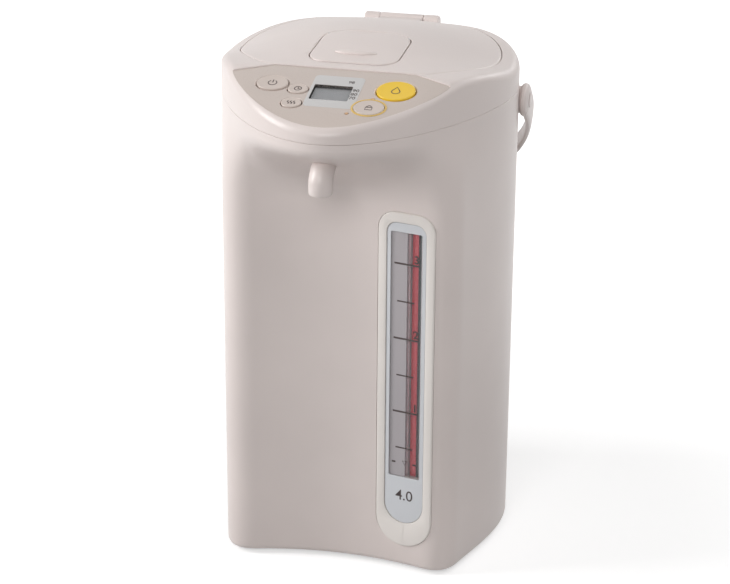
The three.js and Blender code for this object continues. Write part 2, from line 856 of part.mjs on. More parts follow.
function leverClaw() {
  const near = clawFace(clawGap);
  const far = clawFace(clawGap + clawThick);
  const topZ = topHeight(0, sliderSlotY) - leverThick / 2 - leverPinZ;
  const outline = [
    new THREE.Vector2(near[0].x, topZ), ...near, ...[...far].reverse(),
    new THREE.Vector2(near[0].x - clawThick, far[0].y), new THREE.Vector2(near[0].x - clawThick, topZ),
  ];
  return slab(outline, clawWide, -clawWide / 2)
    .rotateX(Math.PI / 2).rotateZ(Math.PI / 2).translate(0, leverPinY, leverPinZ);
}

function lidLever() {
  const outline = leverOutline();
  const round = leverThick / 3;
  const middle = new THREE.Vector2(0, leverMidY);
  const shrunk = (share) => inset(outline, round).map((point) => middle.clone().lerp(point, share));
  const under = (drop) => (point) => topHeight(point.x, point.y) - drop;
  const plate = loft([
    raise(outline, under(leverThick)), raise(outline, under(round)), raise(shrunk(1), under(0)),
    ...capShares.map((share) => raise(shrunk(share), under(0))),
  ]);
  const barrelZ = leverPinZ - leverBarrelRadius / 2;
  const barrel = rod(leverBarrelRadius, -leverBarrelHalf, leverBarrelHalf, leverPinY, barrelZ);
  const ridgePoints = [-1, -0.5, 0, 0.5, 1].map((share) => {
    const x = share * fingerRidgeWide / 2;
    const y = fingerRidgeY - fingerRidgeBow * (1 - share ** 2);
    return new THREE.Vector3(x, y, topHeight(x, y));
  });
  const ridge = pipe(ridgePoints, fingerRidgeRadius, pipeSides / 2);
  return cut(
    join(plate, barrel, ridge, leverClaw()),
    rod(leverPinRadius + pinGap, -leverWide, leverWide, leverPinY, leverPinZ),
  );
}

function leverPin() {
  const half = leverWide / 2 - leverPinShort;
  return rod(leverPinRadius - pinGap / 2, -half, half, leverPinY, leverPinZ);
}

// The slider has a slot for the claw, and the spring behind it holds it forward
function latchSlider() {
  return cut(
    block(sliderWide, sliderLong, sliderThick, 0, sliderFrontY + sliderLong / 2, sliderZ),
    block(clawWide + 2 * clawSideGap, sliderSlotLong, 2 * sliderThick, 0, sliderSlotY - sliderSlotLong / 2,
      sliderZ - sliderThick / 2),
  );
}

function latchSpring() {
  const count = springTurns * pipeSides;
  const firstY = sliderRearY + fitGap + springWire;
  const points = Array.from({ length: count + 1 }, (_, index) => {
    const angle = index / pipeSides * 2 * Math.PI;
    const y = THREE.MathUtils.lerp(firstY, springStopY - springWire, index / count);
    return new THREE.Vector3(springRadius * Math.cos(angle), y, springMidZ + springRadius * Math.sin(angle));
  });
  return pipe(points, springWire, pipeSides / 2, 1);
}

const gasketZ = flangeZ + flangeThick + fitGap;
const plateRimZ = gasketZ + gasketThick + fitGap;

function lidInnerPlate() {
  return turned([
    [0, innerPlateZ], [innerPlateDish, innerPlateZ], [innerPlateDish + innerPlateTurn, plateRimZ],
    [gasketRadius, plateRimZ], [gasketRadius, plateRimZ + innerPlateThick],
    [innerPlateDish + innerPlateTurn - innerPlateThick, plateRimZ + innerPlateThick],
    [innerPlateDish - innerPlateThick, innerPlateZ + innerPlateThick], [0, innerPlateZ + innerPlateThick],
  ]).translate(0, vesselY, 0);
}

function lidGasket() {
  return cut(
    disc(gasketRadius, gasketThick, 0, vesselY, gasketZ, circleSides),
    disc(gasketRadius - gasketWide, gasketThick + 2 * overrun, 0, vesselY, gasketZ - overrun, circleSides),
  );
}

// Vessel, the frame it hangs in, and what sits under its floor
function innerVessel() {
  const foot = vesselRadius - vesselFootRound;
  const lowZ = vesselFloorZ - vesselWall;
  const outer = vesselRadius + vesselWall;
  return turned([
    [0, lowZ], [foot, lowZ], [outer, vesselFloorZ + vesselFootRound], [outer, shoulderLowZ],
    [mouthRadius + vesselWall, shoulderHighZ], [mouthRadius + vesselWall, flangeZ], [flangeRadius, flangeZ],
    [flangeRadius, flangeZ + flangeThick], [mouthRadius, flangeZ + flangeThick], [mouthRadius, shoulderHighZ],
    [vesselRadius, shoulderLowZ], [vesselRadius, vesselFloorZ + vesselFootRound], [foot, vesselFloorZ],
    [0, vesselFloorZ],
  ]).translate(0, vesselY, 0);
}

function vesselWithDrain() {
  return cut(innerVessel(), disc(pipeBore, 4 * vesselWall, pumpX, pumpY, vesselFloorZ - 2 * vesselWall));
}

function vesselFrame() {
  const outline = inset(bodyOutline(seamZ, frameProwShare), casingWall + 2 * fitGap);
  const lowZ = flangeZ - fitGap - frameThick;
  return cut(
    loft([raise(outline, lowZ), raise(outline, lowZ + frameThick)]),
    disc(mouthRadius + vesselWall + fitGap, 2 * frameThick, 0, vesselY, lowZ - frameThick / 2, circleSides),
  );
}

const heaterZ = vesselFloorZ - vesselWall - fitGap - heaterThick;

function heaterPlate() {
  return cut(
    disc(heaterRadius, heaterThick, 0, vesselY, heaterZ, circleSides),
    disc(heaterHole, 2 * heaterThick, 0, vesselY, heaterZ - heaterThick / 2),
    disc(drainRadius + 2 * fitGap, 2 * heaterThick, pumpX, pumpY, heaterZ - heaterThick / 2),
  );
}

function temperatureSensor() {
  const highZ = vesselFloorZ - vesselWall - fitGap;
  const body = disc(sensorRadius, sensorThick, 0, vesselY, highZ - sensorThick);
  return join(body, disc(sensorRadius / 2, sensorThick, 0, vesselY, highZ - 2 * sensorThick));
}

// Depths of the gauge pieces in the gauge frame: x across, y up, z out of the front wall
const labelBack = gaugeProud - gaugeLabelSink - gaugeLabelThick;
const windowFront = labelBack - fitGap;
const windowBack = windowFront - windowThick;
const bezelBack = gaugeProud - gaugeDeep;
const backingFront = bezelBack - fitGap;
const troughFront = backingFront - backingThick - fitGap;
const tubeBack = pipeRadius - troughFront;
const troughBack = -(tubeBack + tubeRadius + stripThick + troughWall + 3 * fitGap);
const troughDeep = troughFront - troughBack;

// Pump: motor below, impeller in the housing, inlet pipe above, delivery pipe to the gauge
const pumpTopZ = pumpZ + pumpHigh;
const outletY = pumpY - pumpRadius;
const outletZ = pumpZ + pumpHigh / 2;

function pumpHousing() {
  const hollow = disc(pumpRadius - pumpWall, pumpHigh - 2 * pumpWall, pumpX, pumpY, pumpZ + pumpWall);
  return cut(
    disc(pumpRadius, pumpHigh, pumpX, pumpY, pumpZ), hollow,
    disc(pipeBore, 2 * pumpHigh, pumpX, pumpY, outletZ),
    disc(shaftRadius + 2 * pinGap, pumpHigh, pumpX, pumpY, pumpZ - pumpHigh / 2),
    new THREE.CylinderGeometry(pipeBore, pipeBore, 2 * pumpRadius, pipeSides)
      .translate(pumpX, outletY, outletZ),
  );
}

function impeller() {
  const lowZ = pumpZ + pumpWall + fitGap;
  const hub = disc(impellerRadius, impellerThick, pumpX, pumpY, lowZ);
  const vanes = Array.from({ length: vaneCount }, (_, index) => {
    const reach = impellerRadius - shaftRadius - vaneThick;
    return block(reach, vaneThick, vaneHigh, shaftRadius + reach / 2, 0, lowZ + impellerThick / 2)
      .rotateZ(index / vaneCount * 2 * Math.PI).translate(pumpX, pumpY, 0);
  });
  return join(hub, disc(2 * shaftRadius, vaneHigh + impellerThick, pumpX, pumpY, lowZ), ...vanes);
}

const motorZ = pumpZ - fitGap - motorHigh;

function pumpMotor() {
  const shaftHigh = pumpWall + fitGap;
  return join(
    disc(motorRadius, motorHigh, pumpX, pumpY, motorZ),
    disc(shaftRadius, shaftHigh + motorHigh / 2, pumpX, pumpY, pumpZ - fitGap - motorHigh / 2),
  );
}

function inletPipe() {
  const lowZ = pumpTopZ + fitGap;
  const high = vesselFloorZ - vesselWall - fitGap - lowZ;
  return cut(
    disc(drainRadius, high, pumpX, pumpY, lowZ),
    disc(pipeBore, high + 2 * overrun, pumpX, pumpY, lowZ - overrun),
  );
}

function gaugePoint(x, z, depth) {
  return new THREE.Vector3(x, z, -depth).applyMatrix4(gauge.matrix);
}

function deliveryPipe() {
  const start = new THREE.Vector3(pumpX, outletY - fitGap, outletZ);
  const end = gaugePoint(tubeOffset, tubeLowZ - fitGap, tubeBack);
  return hollowPipe([
    start, start.clone().add(new THREE.Vector3(0, -2 * pipeRadius, 0)),
    new THREE.Vector3(end.x, end.y + 3 * pipeRadius, (outletZ + end.z) / 2 - pipeRadius / 2),
    end.clone().setZ(end.z - 2 * pipeRadius), end,
  ], pipeRadius, pipeBore);
}

function spoutPortPoint(distance) {
  return new THREE.Vector3(
    distance * Math.cos(spoutPortAngle), spoutY + distance * Math.sin(spoutPortAngle), spoutPortZ,
  );
}

function outletPipe() {
  const start = gaugePoint(tubeOffset, tubeHighZ + fitGap, tubeBack);
  const end = spoutPortPoint(spoutRadius + fitGap);
  const bend = new THREE.Vector3(start.x - pipeRadius, start.y - pipeRadius, undersideTurnZ);
  const above = (z) => start.clone().setZ(z);
  return hollowPipe([
    start, above(start.z + pipeRadius), above(undersideTurnZ - 3 * pipeRadius), bend,
    bend.clone().lerp(spoutPortPoint(spoutRadius + 3 * pipeRadius), midwayShare).setZ(spoutPortZ),
    spoutPortPoint(spoutRadius + 3 * pipeRadius), spoutPortPoint(spoutRadius + pipeRadius), end,
  ], pipeRadius, pipeBore);
}

function spoutNozzle() {
  const high = spoutTopZ - spoutTipZ;
  const port = new THREE.CylinderGeometry(pipeBore, pipeBore, spoutRadius, pipeSides)
    .rotateZ(-Math.PI / 2).rotateZ(spoutPortAngle);
  const portPoint = spoutPortPoint(spoutRadius);
  return cut(
    disc(spoutRadius, high, 0, spoutY, spoutTipZ, circleSides / 2),
    disc(spoutBore, high - spoutRoof, 0, spoutY, spoutTipZ - spoutRoof, circleSides / 2),
    port.translate(portPoint.x, portPoint.y, portPoint.z),
  );
}

// Gauge pieces
function windowPlate(grow = 0) {
  const high = windowHighZ - windowLowZ + 2 * grow;
  return roundedBox(windowWide + 2 * grow, high, windowRound + grow, 0, (windowLowZ + windowHighZ) / 2);
}

function labelPlate(grow = 0) {
  return gaugePlate(gaugeLabelWide, gaugeLabelLowZ, gaugeLabelHighZ, gaugeLabelTopRound, grow);
}

function gaugeBezel() {
  const seat = windowBack - fitGap;
  return cut(
    slab(gaugePlate(gaugeWide, gaugeLowZ, gaugeHighZ, gaugeTopRound), gaugeDeep, bezelBack),
    slab(labelPlate(fitGap), gaugeDeep, seat),
    slab(windowPlate(), 2 * gaugeDeep, bezelBack - overrun),
  );
}

function gaugeLabel() {
  return cut(
    slab(labelPlate(), gaugeLabelThick, labelBack),
    slab(windowPlate(), 2 * gaugeDeep, -gaugeDeep),
  );
}

function gaugeWindow() {
  return slab(windowPlate(windowLap), windowThick, windowBack);
}

function gaugeTube() {
  const high = tubeHighZ - tubeLowZ;
  const round = (radius, length, low) => new THREE.CylinderGeometry(radius, radius, length, smallSides)
    .translate(tubeOffset, low + length / 2, -tubeBack);
  return cut(round(tubeRadius, high, tubeLowZ), round(tubeBore, high + 2 * overrun, tubeLowZ - overrun));
}

const backingLowZ = tubeLowZ + backingMargin;
const backingHighZ = tubeHighZ - backingMargin;

function gaugeBacking() {
  const high = backingHighZ - backingLowZ;
  const middle = (backingLowZ + backingHighZ) / 2;
  return cut(
    block(backingWide, high, backingThick, 0, middle, backingFront - backingThick),
    block(
      2 * slotHalf, high - 2 * backingMargin, 3 * backingThick, slotOffset, middle,
      backingFront - 2 * backingThick,
    ),
  );
}

function gaugeTrough() {
  const high = backingHighZ - backingLowZ;
  const middle = (backingLowZ + backingHighZ) / 2;
  const wide = 2 * (slotHalf + troughWall);
  return cut(
    block(wide, high, troughDeep, slotOffset, middle, troughBack),
    block(2 * slotHalf, high + 2 * overrun, troughDeep, slotOffset, middle, troughBack + troughWall),
  );
}

function gaugeRedStrip() {
  const high = backingHighZ - backingLowZ - 2 * backingMargin;
  const middle = (backingLowZ + backingHighZ) / 2;
  return block(stripWide, high, stripThick, stripOffset, middle, troughBack + troughWall + fitGap);
}

// Control panel pieces
const boardTop = -boardDrop;
const skirtTop = panelThick + fitGap;
const postShares = [[-0.14, -0.8], [0.14, -0.8], [-0.4, -0.17], [0.28, -0.17]];
const boardPosts = postShares.map(panelPlace);
const lampPlaces = Object.values(lampShares).map(panelPlace);

function buttonOutline(size, grow = 0) {
  const middle = new THREE.Vector2(size.x, size.y);
  return oval(size.wide + grow, size.long + grow).map((point) => point.add(middle));
}

function panelPlate() {
  const holes = Object.values(buttonSizes).map((size) => slab(
    buttonOutline(size, buttonGap), 3 * panelThick, -2 * panelThick,
  ));
  const labelRoom = slab(roundedBox(
    labelWide + 2 * fitGap, labelLong + 2 * fitGap, labelRound, labelX, labelY,
  ), panelThick, -labelThick);
  const displayRoom = slab(
    roundedBox(displayWide, displayLong, displayRound, displayX, displayY), 3 * panelThick, -2 * panelThick,
  );
  const postLong = boardDrop - panelThick / 2 - fitGap;
  const posts = boardPosts.map(([x, y]) => disc(boardPostRadius, postLong, x, y, boardTop + fitGap));
  const lampHoles = lampPlaces.map(([x, y]) => disc(lampRadius + fitGap, boardDrop, x, y, -boardDrop / 2));
  return cut(
    join(slab(panelOutline(), panelThick, -panelThick), ...posts),
    ...holes, ...lampHoles, labelRoom, displayRoom,
  );
}

function displayLabel() {
  const outline = roundedBox(labelWide, labelLong, labelRound, labelX, labelY);
  const hole = roundedBox(displayWide, displayLong, displayRound, displayX, displayY);
  return cut(
    slab(outline, labelThick - fitGap / 2, fitGap / 2 - labelThick),
    slab(hole, 3 * panelThick, -2 * panelThick),
  );
}

const lensTop = -panelThick - fitGap;

function displayLens() {
  return slab(roundedBox(
    displayWide + displayMargin, displayLong + displayMargin, displayRound, displayX, displayY,
  ), lensThick, lensTop - lensThick);
}

function displayModule() {
  const top = lensTop - lensThick - fitGap;
  return slab(roundedBox(
    displayWide + displayMargin, displayLong + displayMargin, displayRound, displayX, displayY,
  ), top - boardTop - fitGap, boardTop + fitGap);
}

function panelButton(size) {
  const cap = new THREE.ExtrudeGeometry(new THREE.Shape(buttonOutline(size, -buttonBevel)), {
    depth: skirtTop + buttonProud - 2 * buttonBevel + buttonSkirt / 2, curveSegments: 1,
    bevelThickness: buttonBevel, bevelSize: buttonBevel, bevelSegments: 1,
  }).translate(0, 0, buttonBevel - skirtTop - buttonSkirt / 2);
  const skirt = slab(buttonOutline(size, buttonSkirt), buttonSkirt, -skirtTop - buttonSkirt);
  const stemLow = boardTop + switchHigh + switchGap + buttonTravel;
  return join(cap, skirt, disc(buttonStemRadius, -skirtTop - stemLow, size.x, size.y, stemLow));
}

function controlBoard() {
  const middle = new THREE.Vector2(0, labelY);
  const outline = panelOutline().map((point) => middle.clone().lerp(point, boardShare));
  const plate = slab(outline, boardThick, boardTop - boardThick);
  const switches = Object.values(buttonSizes).map((size) => block(
    switchWide, switchWide, switchHigh + boardThick / 2, size.x, size.y, boardTop - boardThick / 2,
  ));
  return join(plate, ...switches);
}

function lamp([x, y]) {
  return disc(lampRadius, lampProud - boardTop - fitGap, x, y, boardTop + fitGap);
}

function unlockRing() {
  const size = buttonSizes.unlock;
  const ringTop = buttonProud / 2;
  return cut(
    slab(buttonOutline(size, ringWide + buttonGap), ringTop - fitGap, fitGap),
    slab(buttonOutline(size, buttonGap), 4 * panelThick, -2 * panelThick),
  );
}

// Power inlet, boards and the handle
const inletFaceY = footRadius + inletProud;

function powerInlet() {
  const wellWide = inletWide - 2 * inletRim;
  const wellHigh = inletHigh - 2 * inletRim;
  const wellMidY = inletFaceY - (inletWell - overrun) / 2;
  const pinY = inletFaceY - inletWell / 2 - overrun;
  const pins = [-1, 1].map((side) => new THREE.CylinderGeometry(
    inletPinRadius, inletPinRadius, inletWell, pipeSides,
  ).translate(side * inletPinSpread, pinY, inletZ));
  return join(cut(
    block(inletWide, inletDeep, inletHigh, 0, inletFaceY - inletDeep / 2, inletZ - inletHigh / 2),
    block(wellWide, inletWell + overrun, wellHigh, 0, wellMidY, inletZ - wellHigh / 2),
  ), ...pins);
}

function mainBoard() {
  const partShares = [[0.3, 0.25, 0.3], [-0.3, 0.2, 0.22], [0.02, -0.28, 0.2], [-0.32, -0.28, 0.16]];
  return join(
    block(mainBoardWide, mainBoardLong, boardThick, mainBoardX, mainBoardY, mainBoardZ),
    ...partShares.map(([shareX, shareY, shareWide]) => block(
      mainBoardWide * shareWide, mainBoardLong * shareWide, partHigh, mainBoardX + mainBoardWide * shareX,
      mainBoardY + mainBoardLong * shareY, mainBoardZ + boardThick / 2,
    )),
  );
}

const earX = topRadius + bossProud + fitGap + earThick / 2;

function carryHandle() {
  const path = [];
  for (let step = -1; step <= strapSteps + 1; step += 1) {
    const angle = step / strapSteps * Math.PI;
    path.push(new THREE.Vector2(earX * Math.cos(angle), handleReach * Math.sin(angle)));
  }
  const outer = inset([...path].reverse(), strapThick / 2);
  const inner = inset([...path].reverse(), -strapThick / 2);
  const outline = [...outer.slice(1, -1), ...inner.slice(1, -1).reverse()];
  const strap = slab(outline, strapHigh, -strapHigh / 2);
  const ears = [-1, 1].map((side) => rod(
    earRadius, side * earX - earThick / 2, side * earX + earThick / 2, 0, 0, circleSides / 2,
  ));
  return cut(join(strap, ...ears), rod(pivotPinRadius + pinGap, -2 * topRadius, 2 * topRadius, 0, 0))
    .transform(new THREE.Matrix4().makeRotationX(-handleSag).elements)
    .translate([0, pivotY, pivotZ]);
}

function pivotScrew(side) {
  const headX = earX + earThick / 2 + fitGap;
  const span = (from, to) => [Math.min(side * from, side * to), Math.max(side * from, side * to)];
  return join(
    rod(pivotHeadRadius, ...span(headX, headX + pivotHeadThick), pivotY, pivotZ),
    rod(pivotPinRadius, ...span(topRadius - pivotPinIn, headX + pivotHeadThick / 2), pivotY, pivotZ),
  );
}

// The assembly
addNode('body_casing', bodyCasing(), shellPlastic);
addNode('bottom_cover', bottomCover(), darkPlastic);
footPlaces().forEach(([x, y], index) => {
  addNode(`rubber_foot_${index + 1}`, disc(footPadRadius, footPadThick - fitGap, x, y, 0), rubber);
});
screwPlaces().forEach(([x, y], index) => addNode(`cover_screw_${index + 1}`, screw(x, y), steel));
addNode('top_cover', topCover(), shellPlastic);

addNode('lid_shell', lidShell(), shellPlastic);
addNode('lid_lever', lidLever(), shellPlastic);
addNode('lid_lever_pin', leverPin(), steel);
addNode('latch_slider', latchSlider(), whitePlastic);
addNode('latch_spring', latchSpring(), steel);
addNode('lid_hinge_pin', rod(hingePinRadius, -hingeHalf + fitGap, hingeHalf - fitGap, hingeY, hingeZ), steel);
addNode('lid_inner_plate', lidInnerPlate(), steel);
addNode('lid_gasket', lidGasket(), silicone);

addNode('inner_vessel', vesselWithDrain(), steel);
addNode('vessel_frame', vesselFrame(), whitePlastic);
addNode('heater_plate', heaterPlate(), steel);
addNode('temperature_sensor', temperatureSensor(), darkPlastic);
addNode('pump_housing', pumpHousing(), whitePlastic);
addNode('pump_impeller', impeller(), whitePlastic);
addNode('pump_motor', pumpMotor(), steel);
addNode('inlet_pipe', inletPipe(), silicone);
addNode('delivery_pipe', deliveryPipe(), silicone);
addNode('outlet_pipe', outletPipe(), silicone);
addNode('spout_nozzle', spoutNozzle(), shellPlastic);

addNode('gauge_bezel', gaugeBezel(), shellPlastic, gauge);
addNode('gauge_label', gaugeLabel(), labelPlastic, gauge);
addNode('gauge_window', gaugeWindow(), clearPlastic, gauge);
addNode('gauge_tube', gaugeTube(), glass, gauge);
addNode('gauge_backing', gaugeBacking(), backingGrey, gauge);
addNode('gauge_trough', gaugeTrough(), whitePlastic, gauge);
addNode('gauge_red_strip', gaugeRedStrip(), redPaint, gauge);

addNode('panel_plate', panelPlate(), panelPlastic, panel);
addNode('display_label', displayLabel(), labelPlastic, panel);
addNode('display_lens', displayLens(), clearPlastic, panel);
addNode('display_module', displayModule(), displayGrey, panel);
addNode('control_board', controlBoard(), boardGreen, panel);
Object.entries(buttonSizes).forEach(([name, size]) => addNode(
  `${name}_button`, panelButton(size), name === 'dispense' ? yellowPlastic : panelPlastic, panel,
));
addNode('unlock_ring', unlockRing(), yellowPlastic, panel);
Object.keys(lampShares).forEach((name, index) => {
  addNode(`${name}_lamp`, lamp(lampPlaces[index]), lampPlastic, panel);
});

addNode('power_inlet', powerInlet(), darkPlastic);
addNode('main_board', mainBoard(), boardGreen);
addNode('carry_handle', carryHandle(), shellPlastic);
addNode('pivot_screw_left', pivotScrew(-1), shellPlastic);
addNode('pivot_screw_right', pivotScrew(1), shellPlastic);

// The origin lies on the floor under the middle of the overall box
const handleRearY = pivotY + (handleReach + strapThick / 2) * Math.cos(handleSag)
  + strapHigh / 2 * Math.sin(handleSag);
pot.position.setY((prowReach - handleRearY) / 2);

export default pot;
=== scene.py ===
# Looks of the electric thermo pot: smooth meshes, finishes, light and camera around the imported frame.
# Sizes are millimetres in the pot's own axes; make() moves them into the frame and turns them into metres.
import json
import math

import bmesh
import bpy
import numpy as np
from mathutils import Matrix, Vector


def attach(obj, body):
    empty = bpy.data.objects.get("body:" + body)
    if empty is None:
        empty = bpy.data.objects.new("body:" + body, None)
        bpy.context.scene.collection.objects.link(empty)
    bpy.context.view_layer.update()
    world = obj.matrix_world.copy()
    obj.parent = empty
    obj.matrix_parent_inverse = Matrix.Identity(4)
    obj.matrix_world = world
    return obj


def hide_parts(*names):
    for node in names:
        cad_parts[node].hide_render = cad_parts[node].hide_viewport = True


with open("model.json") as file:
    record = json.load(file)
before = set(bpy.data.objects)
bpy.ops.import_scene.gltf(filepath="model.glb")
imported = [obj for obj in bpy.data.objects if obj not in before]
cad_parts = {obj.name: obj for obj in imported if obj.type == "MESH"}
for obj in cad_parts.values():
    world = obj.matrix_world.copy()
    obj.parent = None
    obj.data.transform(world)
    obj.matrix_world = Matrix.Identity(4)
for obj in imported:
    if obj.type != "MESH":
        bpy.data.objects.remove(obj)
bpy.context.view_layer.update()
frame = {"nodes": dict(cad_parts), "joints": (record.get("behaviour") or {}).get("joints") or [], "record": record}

mm = 0.001
hinge_y, hinge_z = 91.5, 328.3
lid_joint = next(joint for joint in frame["joints"] if joint["name"] == "lid_hinge")
shift_y = lid_joint["pos_m"][1] / mm - hinge_y
gap, lap, cut_over = 0.3, 0.02, 5.0

# Body outline
foot_radius, top_radius, seam_z = 96.5, 97.4, 311.0
foot_front_y, foot_hollow, corner_x, corner_round = -79.0, 14.0, 74.5, 20.0
side_straight, side_bend, side_angle = 25.0, 24.0, math.radians(74)
prow_reach, side_hold, nose_hold = 141.5, 50.0, 50.0
side_share, front_share = 0.41, 0.6

# Casing
under_low, under_turn, under_lip, prow_lip = 253.0, 284.0, 293.0, 307.0
casing_low, casing_wall, under_wall, bottom_round, casing_edge = 2.5, 2.5, 3.0, 4.0, 0.2
inner_levels = (200, 120, 40)
boss_proud, boss_radius, boss_edge, boss_deep = 1.5, 9.0, 1.2, 8.0
inlet_wide, inlet_high, inlet_z, inlet_round, inlet_deep, inlet_clear = 38.0, 24.0, 36.0, 0.5, 12.0, 30.0

# Top surface and cover
rim_level, rim_rise, crown, front_crown = 327.0, 9.2, 18.3, 3.2
slope_start, rim_round, crease_soft = -75.0, 5.0, 1.2
cover_wall, cover_low_edge, seam_show, hollow_below = 4.2, 0.25, 0.12, 2.0
collar_wall, collar_skin, collar_low, collar_below, collar_clear, clear_z = 2.2, 0.8, 309.8, 1.0, 352.0, 365.0
pocket_round, pocket_fall_share, pocket_out = 1.3, 0.7, 3.0

# Hinge
hinge_half, knuckle_half, hinge_turn = 26.0, 15.0, (200, -10)
cheek_radius, cheek_back, cheek_low, cheek_cut_low = 5.9, 97.0, 320.0, 300.0
knuckle_radius, knuckle_back, knuckle_low, knuckle_end = 5.8, 5.0, 4.8, 0.3
arm_in, arm_round, arm_under, arm_over, arm_edge = 6.0, 2.0, 5.2, 4.2, 0.8

# Panel, in its own frame
panel_angle, panel_y, panel_z, panel_sink = math.radians(15), -70.0, 338.2, 1.0
panel_back, panel_tip_x, panel_tip_y, panel_reach = 45.5, 70.0, 10.9, 68.8
tip_hold, tip_draw, panel_nose = 19.0, 8.0, 30.0
panel_thick, panel_ledge, panel_edge, panel_hole = 1.4, 2.6, 0.1, (-25.0, 5.0)
label_size, label_place, label_round = (32.0, 37.0), (-0.2, -26.7), 3.0
label_sunk, label_raised = -0.3, 0.12
display_size, display_place, display_round = (24.5, 17.6), (-2.0, -28.0), 0.8
well_grow, well_round, well_deep = 1.6, 1.2, -3.2
panel_cut = 8.0

# Keys and lamps: middle and half sizes; a moat is the width of the recess round its key
buttons = {
    "energy": (-41.2, -21.7, 10.0, 8.2), "timer": (-23.6, -26.3, 6.4, 5.4), "boil": (-23.6, -42.9, 6.3, 5.6),
    "dispense": (37.6, -20.5, 12.2, 11.0), "unlock": (25.4, -42.2, 9.6, 8.4),
}
moats = {"energy": 1.5, "timer": 1.0, "boil": 1.0, "dispense": 1.5, "unlock": 0.42}
lamps, lamp_hole = {"lock": (25.4, -31.7), "boil": (13.3, -50.3)}, 1.4
key_back, key_proud, key_dish = -1.6, 0.55, 0.25
moat_lip, moat_bend, moat_floor, moat_back, moat_bend_share = 0.02, -0.32, -0.9, -1.3, 0.55
ring_gap, ring_grow, ring_tall, ring_back, ring_side_share = 0.35, 1.7, 0.35, -0.2, 0.6
ring_outer_edge, ring_inner_edge = (0.1, 0.4), 0.2

# Lid and lever
lid_radius, lid_front, lid_corner, lid_gap, lid_low = 85.0, -67.5, 9.0, 0.7, 315.0
lid_edge, lid_low_edge, lid_show = 1.2, 0.6, 0.38
lever_wide, lever_long, lever_mid, lever_round, lever_thick = 58.0, 57.0, -29.5, 13.0, 2.4
lever_gap, lever_floor, lever_edge, lever_mouth = 0.8, 334.4, 0.7, 0.7
ridge_half, ridge_y, ridge_bow, ridge_wide, ridge_tall, ridge_end_share = 14.0, -41.0, 1.4, 3.2, 1.9, 0.004
plate_low, plate_rim, plate_thick, plate_eye, plate_rings = 306.0, 314.1, 0.6, 1.5, (18.0, 19.0)
dish, dish_turn, rim, dish_in, dish_up, rim_in, rim_down = 60.0, 6.0, 75.0, 2.0, 1.0, 1.0, 1.2
gasket_in, gasket_out, gasket_low, gasket_high = 68.0, 75.0, 309.8, 313.8
gasket_lip, gasket_soft, gasket_top, gasket_top_in = 0.1, 1.0, 0.8, 0.6

# Vessel
flange_z, flange_radius, flange_thick, flange_edge = 308.3, 84.0, 1.2, 0.2
mouth_radius, mouth_edge, vessel_radius, vessel_y, vessel_eye = 72.0, 0.4, 78.5, 8.0, 3.0
shoulder_low, shoulder_high, neck_low, neck_out, inner_drop = 292.0, 299.0, 301.0, 2.0, 0.4
floor_z, foot_bend, wall = 62.9, 8.0, 0.8

# Spout: the tip's edge is told as how far in and how far up
spout_y, spout_bore, spout_tip, spout_wide, bore_edge = -130.0, 4.8, 275.5, 7.6, 0.8
spout_neck, spout_back, spout_top, spout_hold = 281.0, -110.0, 297.0, 6.0
tip_edge = ((1.2, 0.0), (0.3, 0.6), (0.0, 1.8))

# Gauge, in its own frame: x along the wall, y up, z out of it
gauge_x, gauge_wide, gauge_low, gauge_high = 44.6, 40.0, 18.0, 251.8
gauge_top_round, gauge_proud, gauge_deep, gauge_edge, gauge_cut = 12.0, 1.3, 5.0, 1.0, 20.0
label_wide, label_low, label_high, label_top_round = 27.4, 35.0, 244.8, 7.0
label_sink, gauge_label_thick, gauge_label_edge = 0.6, 0.8, 0.25
window_wide, window_low, window_high, window_round = 22.4, 68.0, 238.8, 1.5
bezel_mouth = ((0.5, 0.0), (0.15, 0.12), (0.0, 0.45), (-2.0, 2.4))
label_back = gauge_proud - label_sink - gauge_label_thick
label_front = label_back + gauge_label_thick
window_front, window_mid = label_back - gap, (window_low + window_high) / 2

# Prints on the gauge: a tick is its left end, right end and line width
film_margin, film_right, film_round, film_off, film_thick = 0.15, 0.2, 0.1, 0.005, 0.02
half_litre, mark_z, mark_thick = 25.7, window_front + 0.03, 0.06
long_tick, short_tick = (-9.0, 8.3, 1.25), (-6.7, 5.4, 1.0)
number_size, number_x, number_up, number_off, number_bold = 7.6, 6.8, 3.8, 0.04, 0.16
refill_z, refill_dashes, refill_line = 77.8, ((-9.2, -6.6), (5.6, 8.2)), 1.2
arrow_half, arrow_up, arrow_down, arrow_line = 1.6, 1.5, 1.3, 0.5
litres_size, litres_place, litres_off, litres_bold, letter_half = 10.4, (0.4, 54.6), 0.03, 0.03, 0.03

# Tube, the red band that the water draws on its front, and the trough behind it
tube_x, tube_depth, tube_radius, tube_bore, tube_low, tube_high = 3.8, 8.9, 3.6, 2.6, 60.0, 244.3
band_turn, band_skin, band_off, band_end = (math.radians(-60), math.radians(30)), 0.06, 0.01, 4.0
trough_side, trough_front, trough_back = (-1.8, 11.0), -5.4, -15.0
trough_lip, trough_floor, trough_end = 0.45, 1.1, 2.0

# Icons and numbers on the panel
icon_low, icon_thick, icon_line, wave_half, wave_long, wave_pitch = 0.32, 0.12, 0.55, 0.7, 1.7, 2.0
scale_size, scale_x, scale_y, scale_lean, scale_pitch = 4.3, 12.9, -23.8, 0.25, 4.4
boiling_size, boiling_x, boiling_y, scale_z, scale_bold = 4.0, 8.0, -14.6, 0.16, 0.04

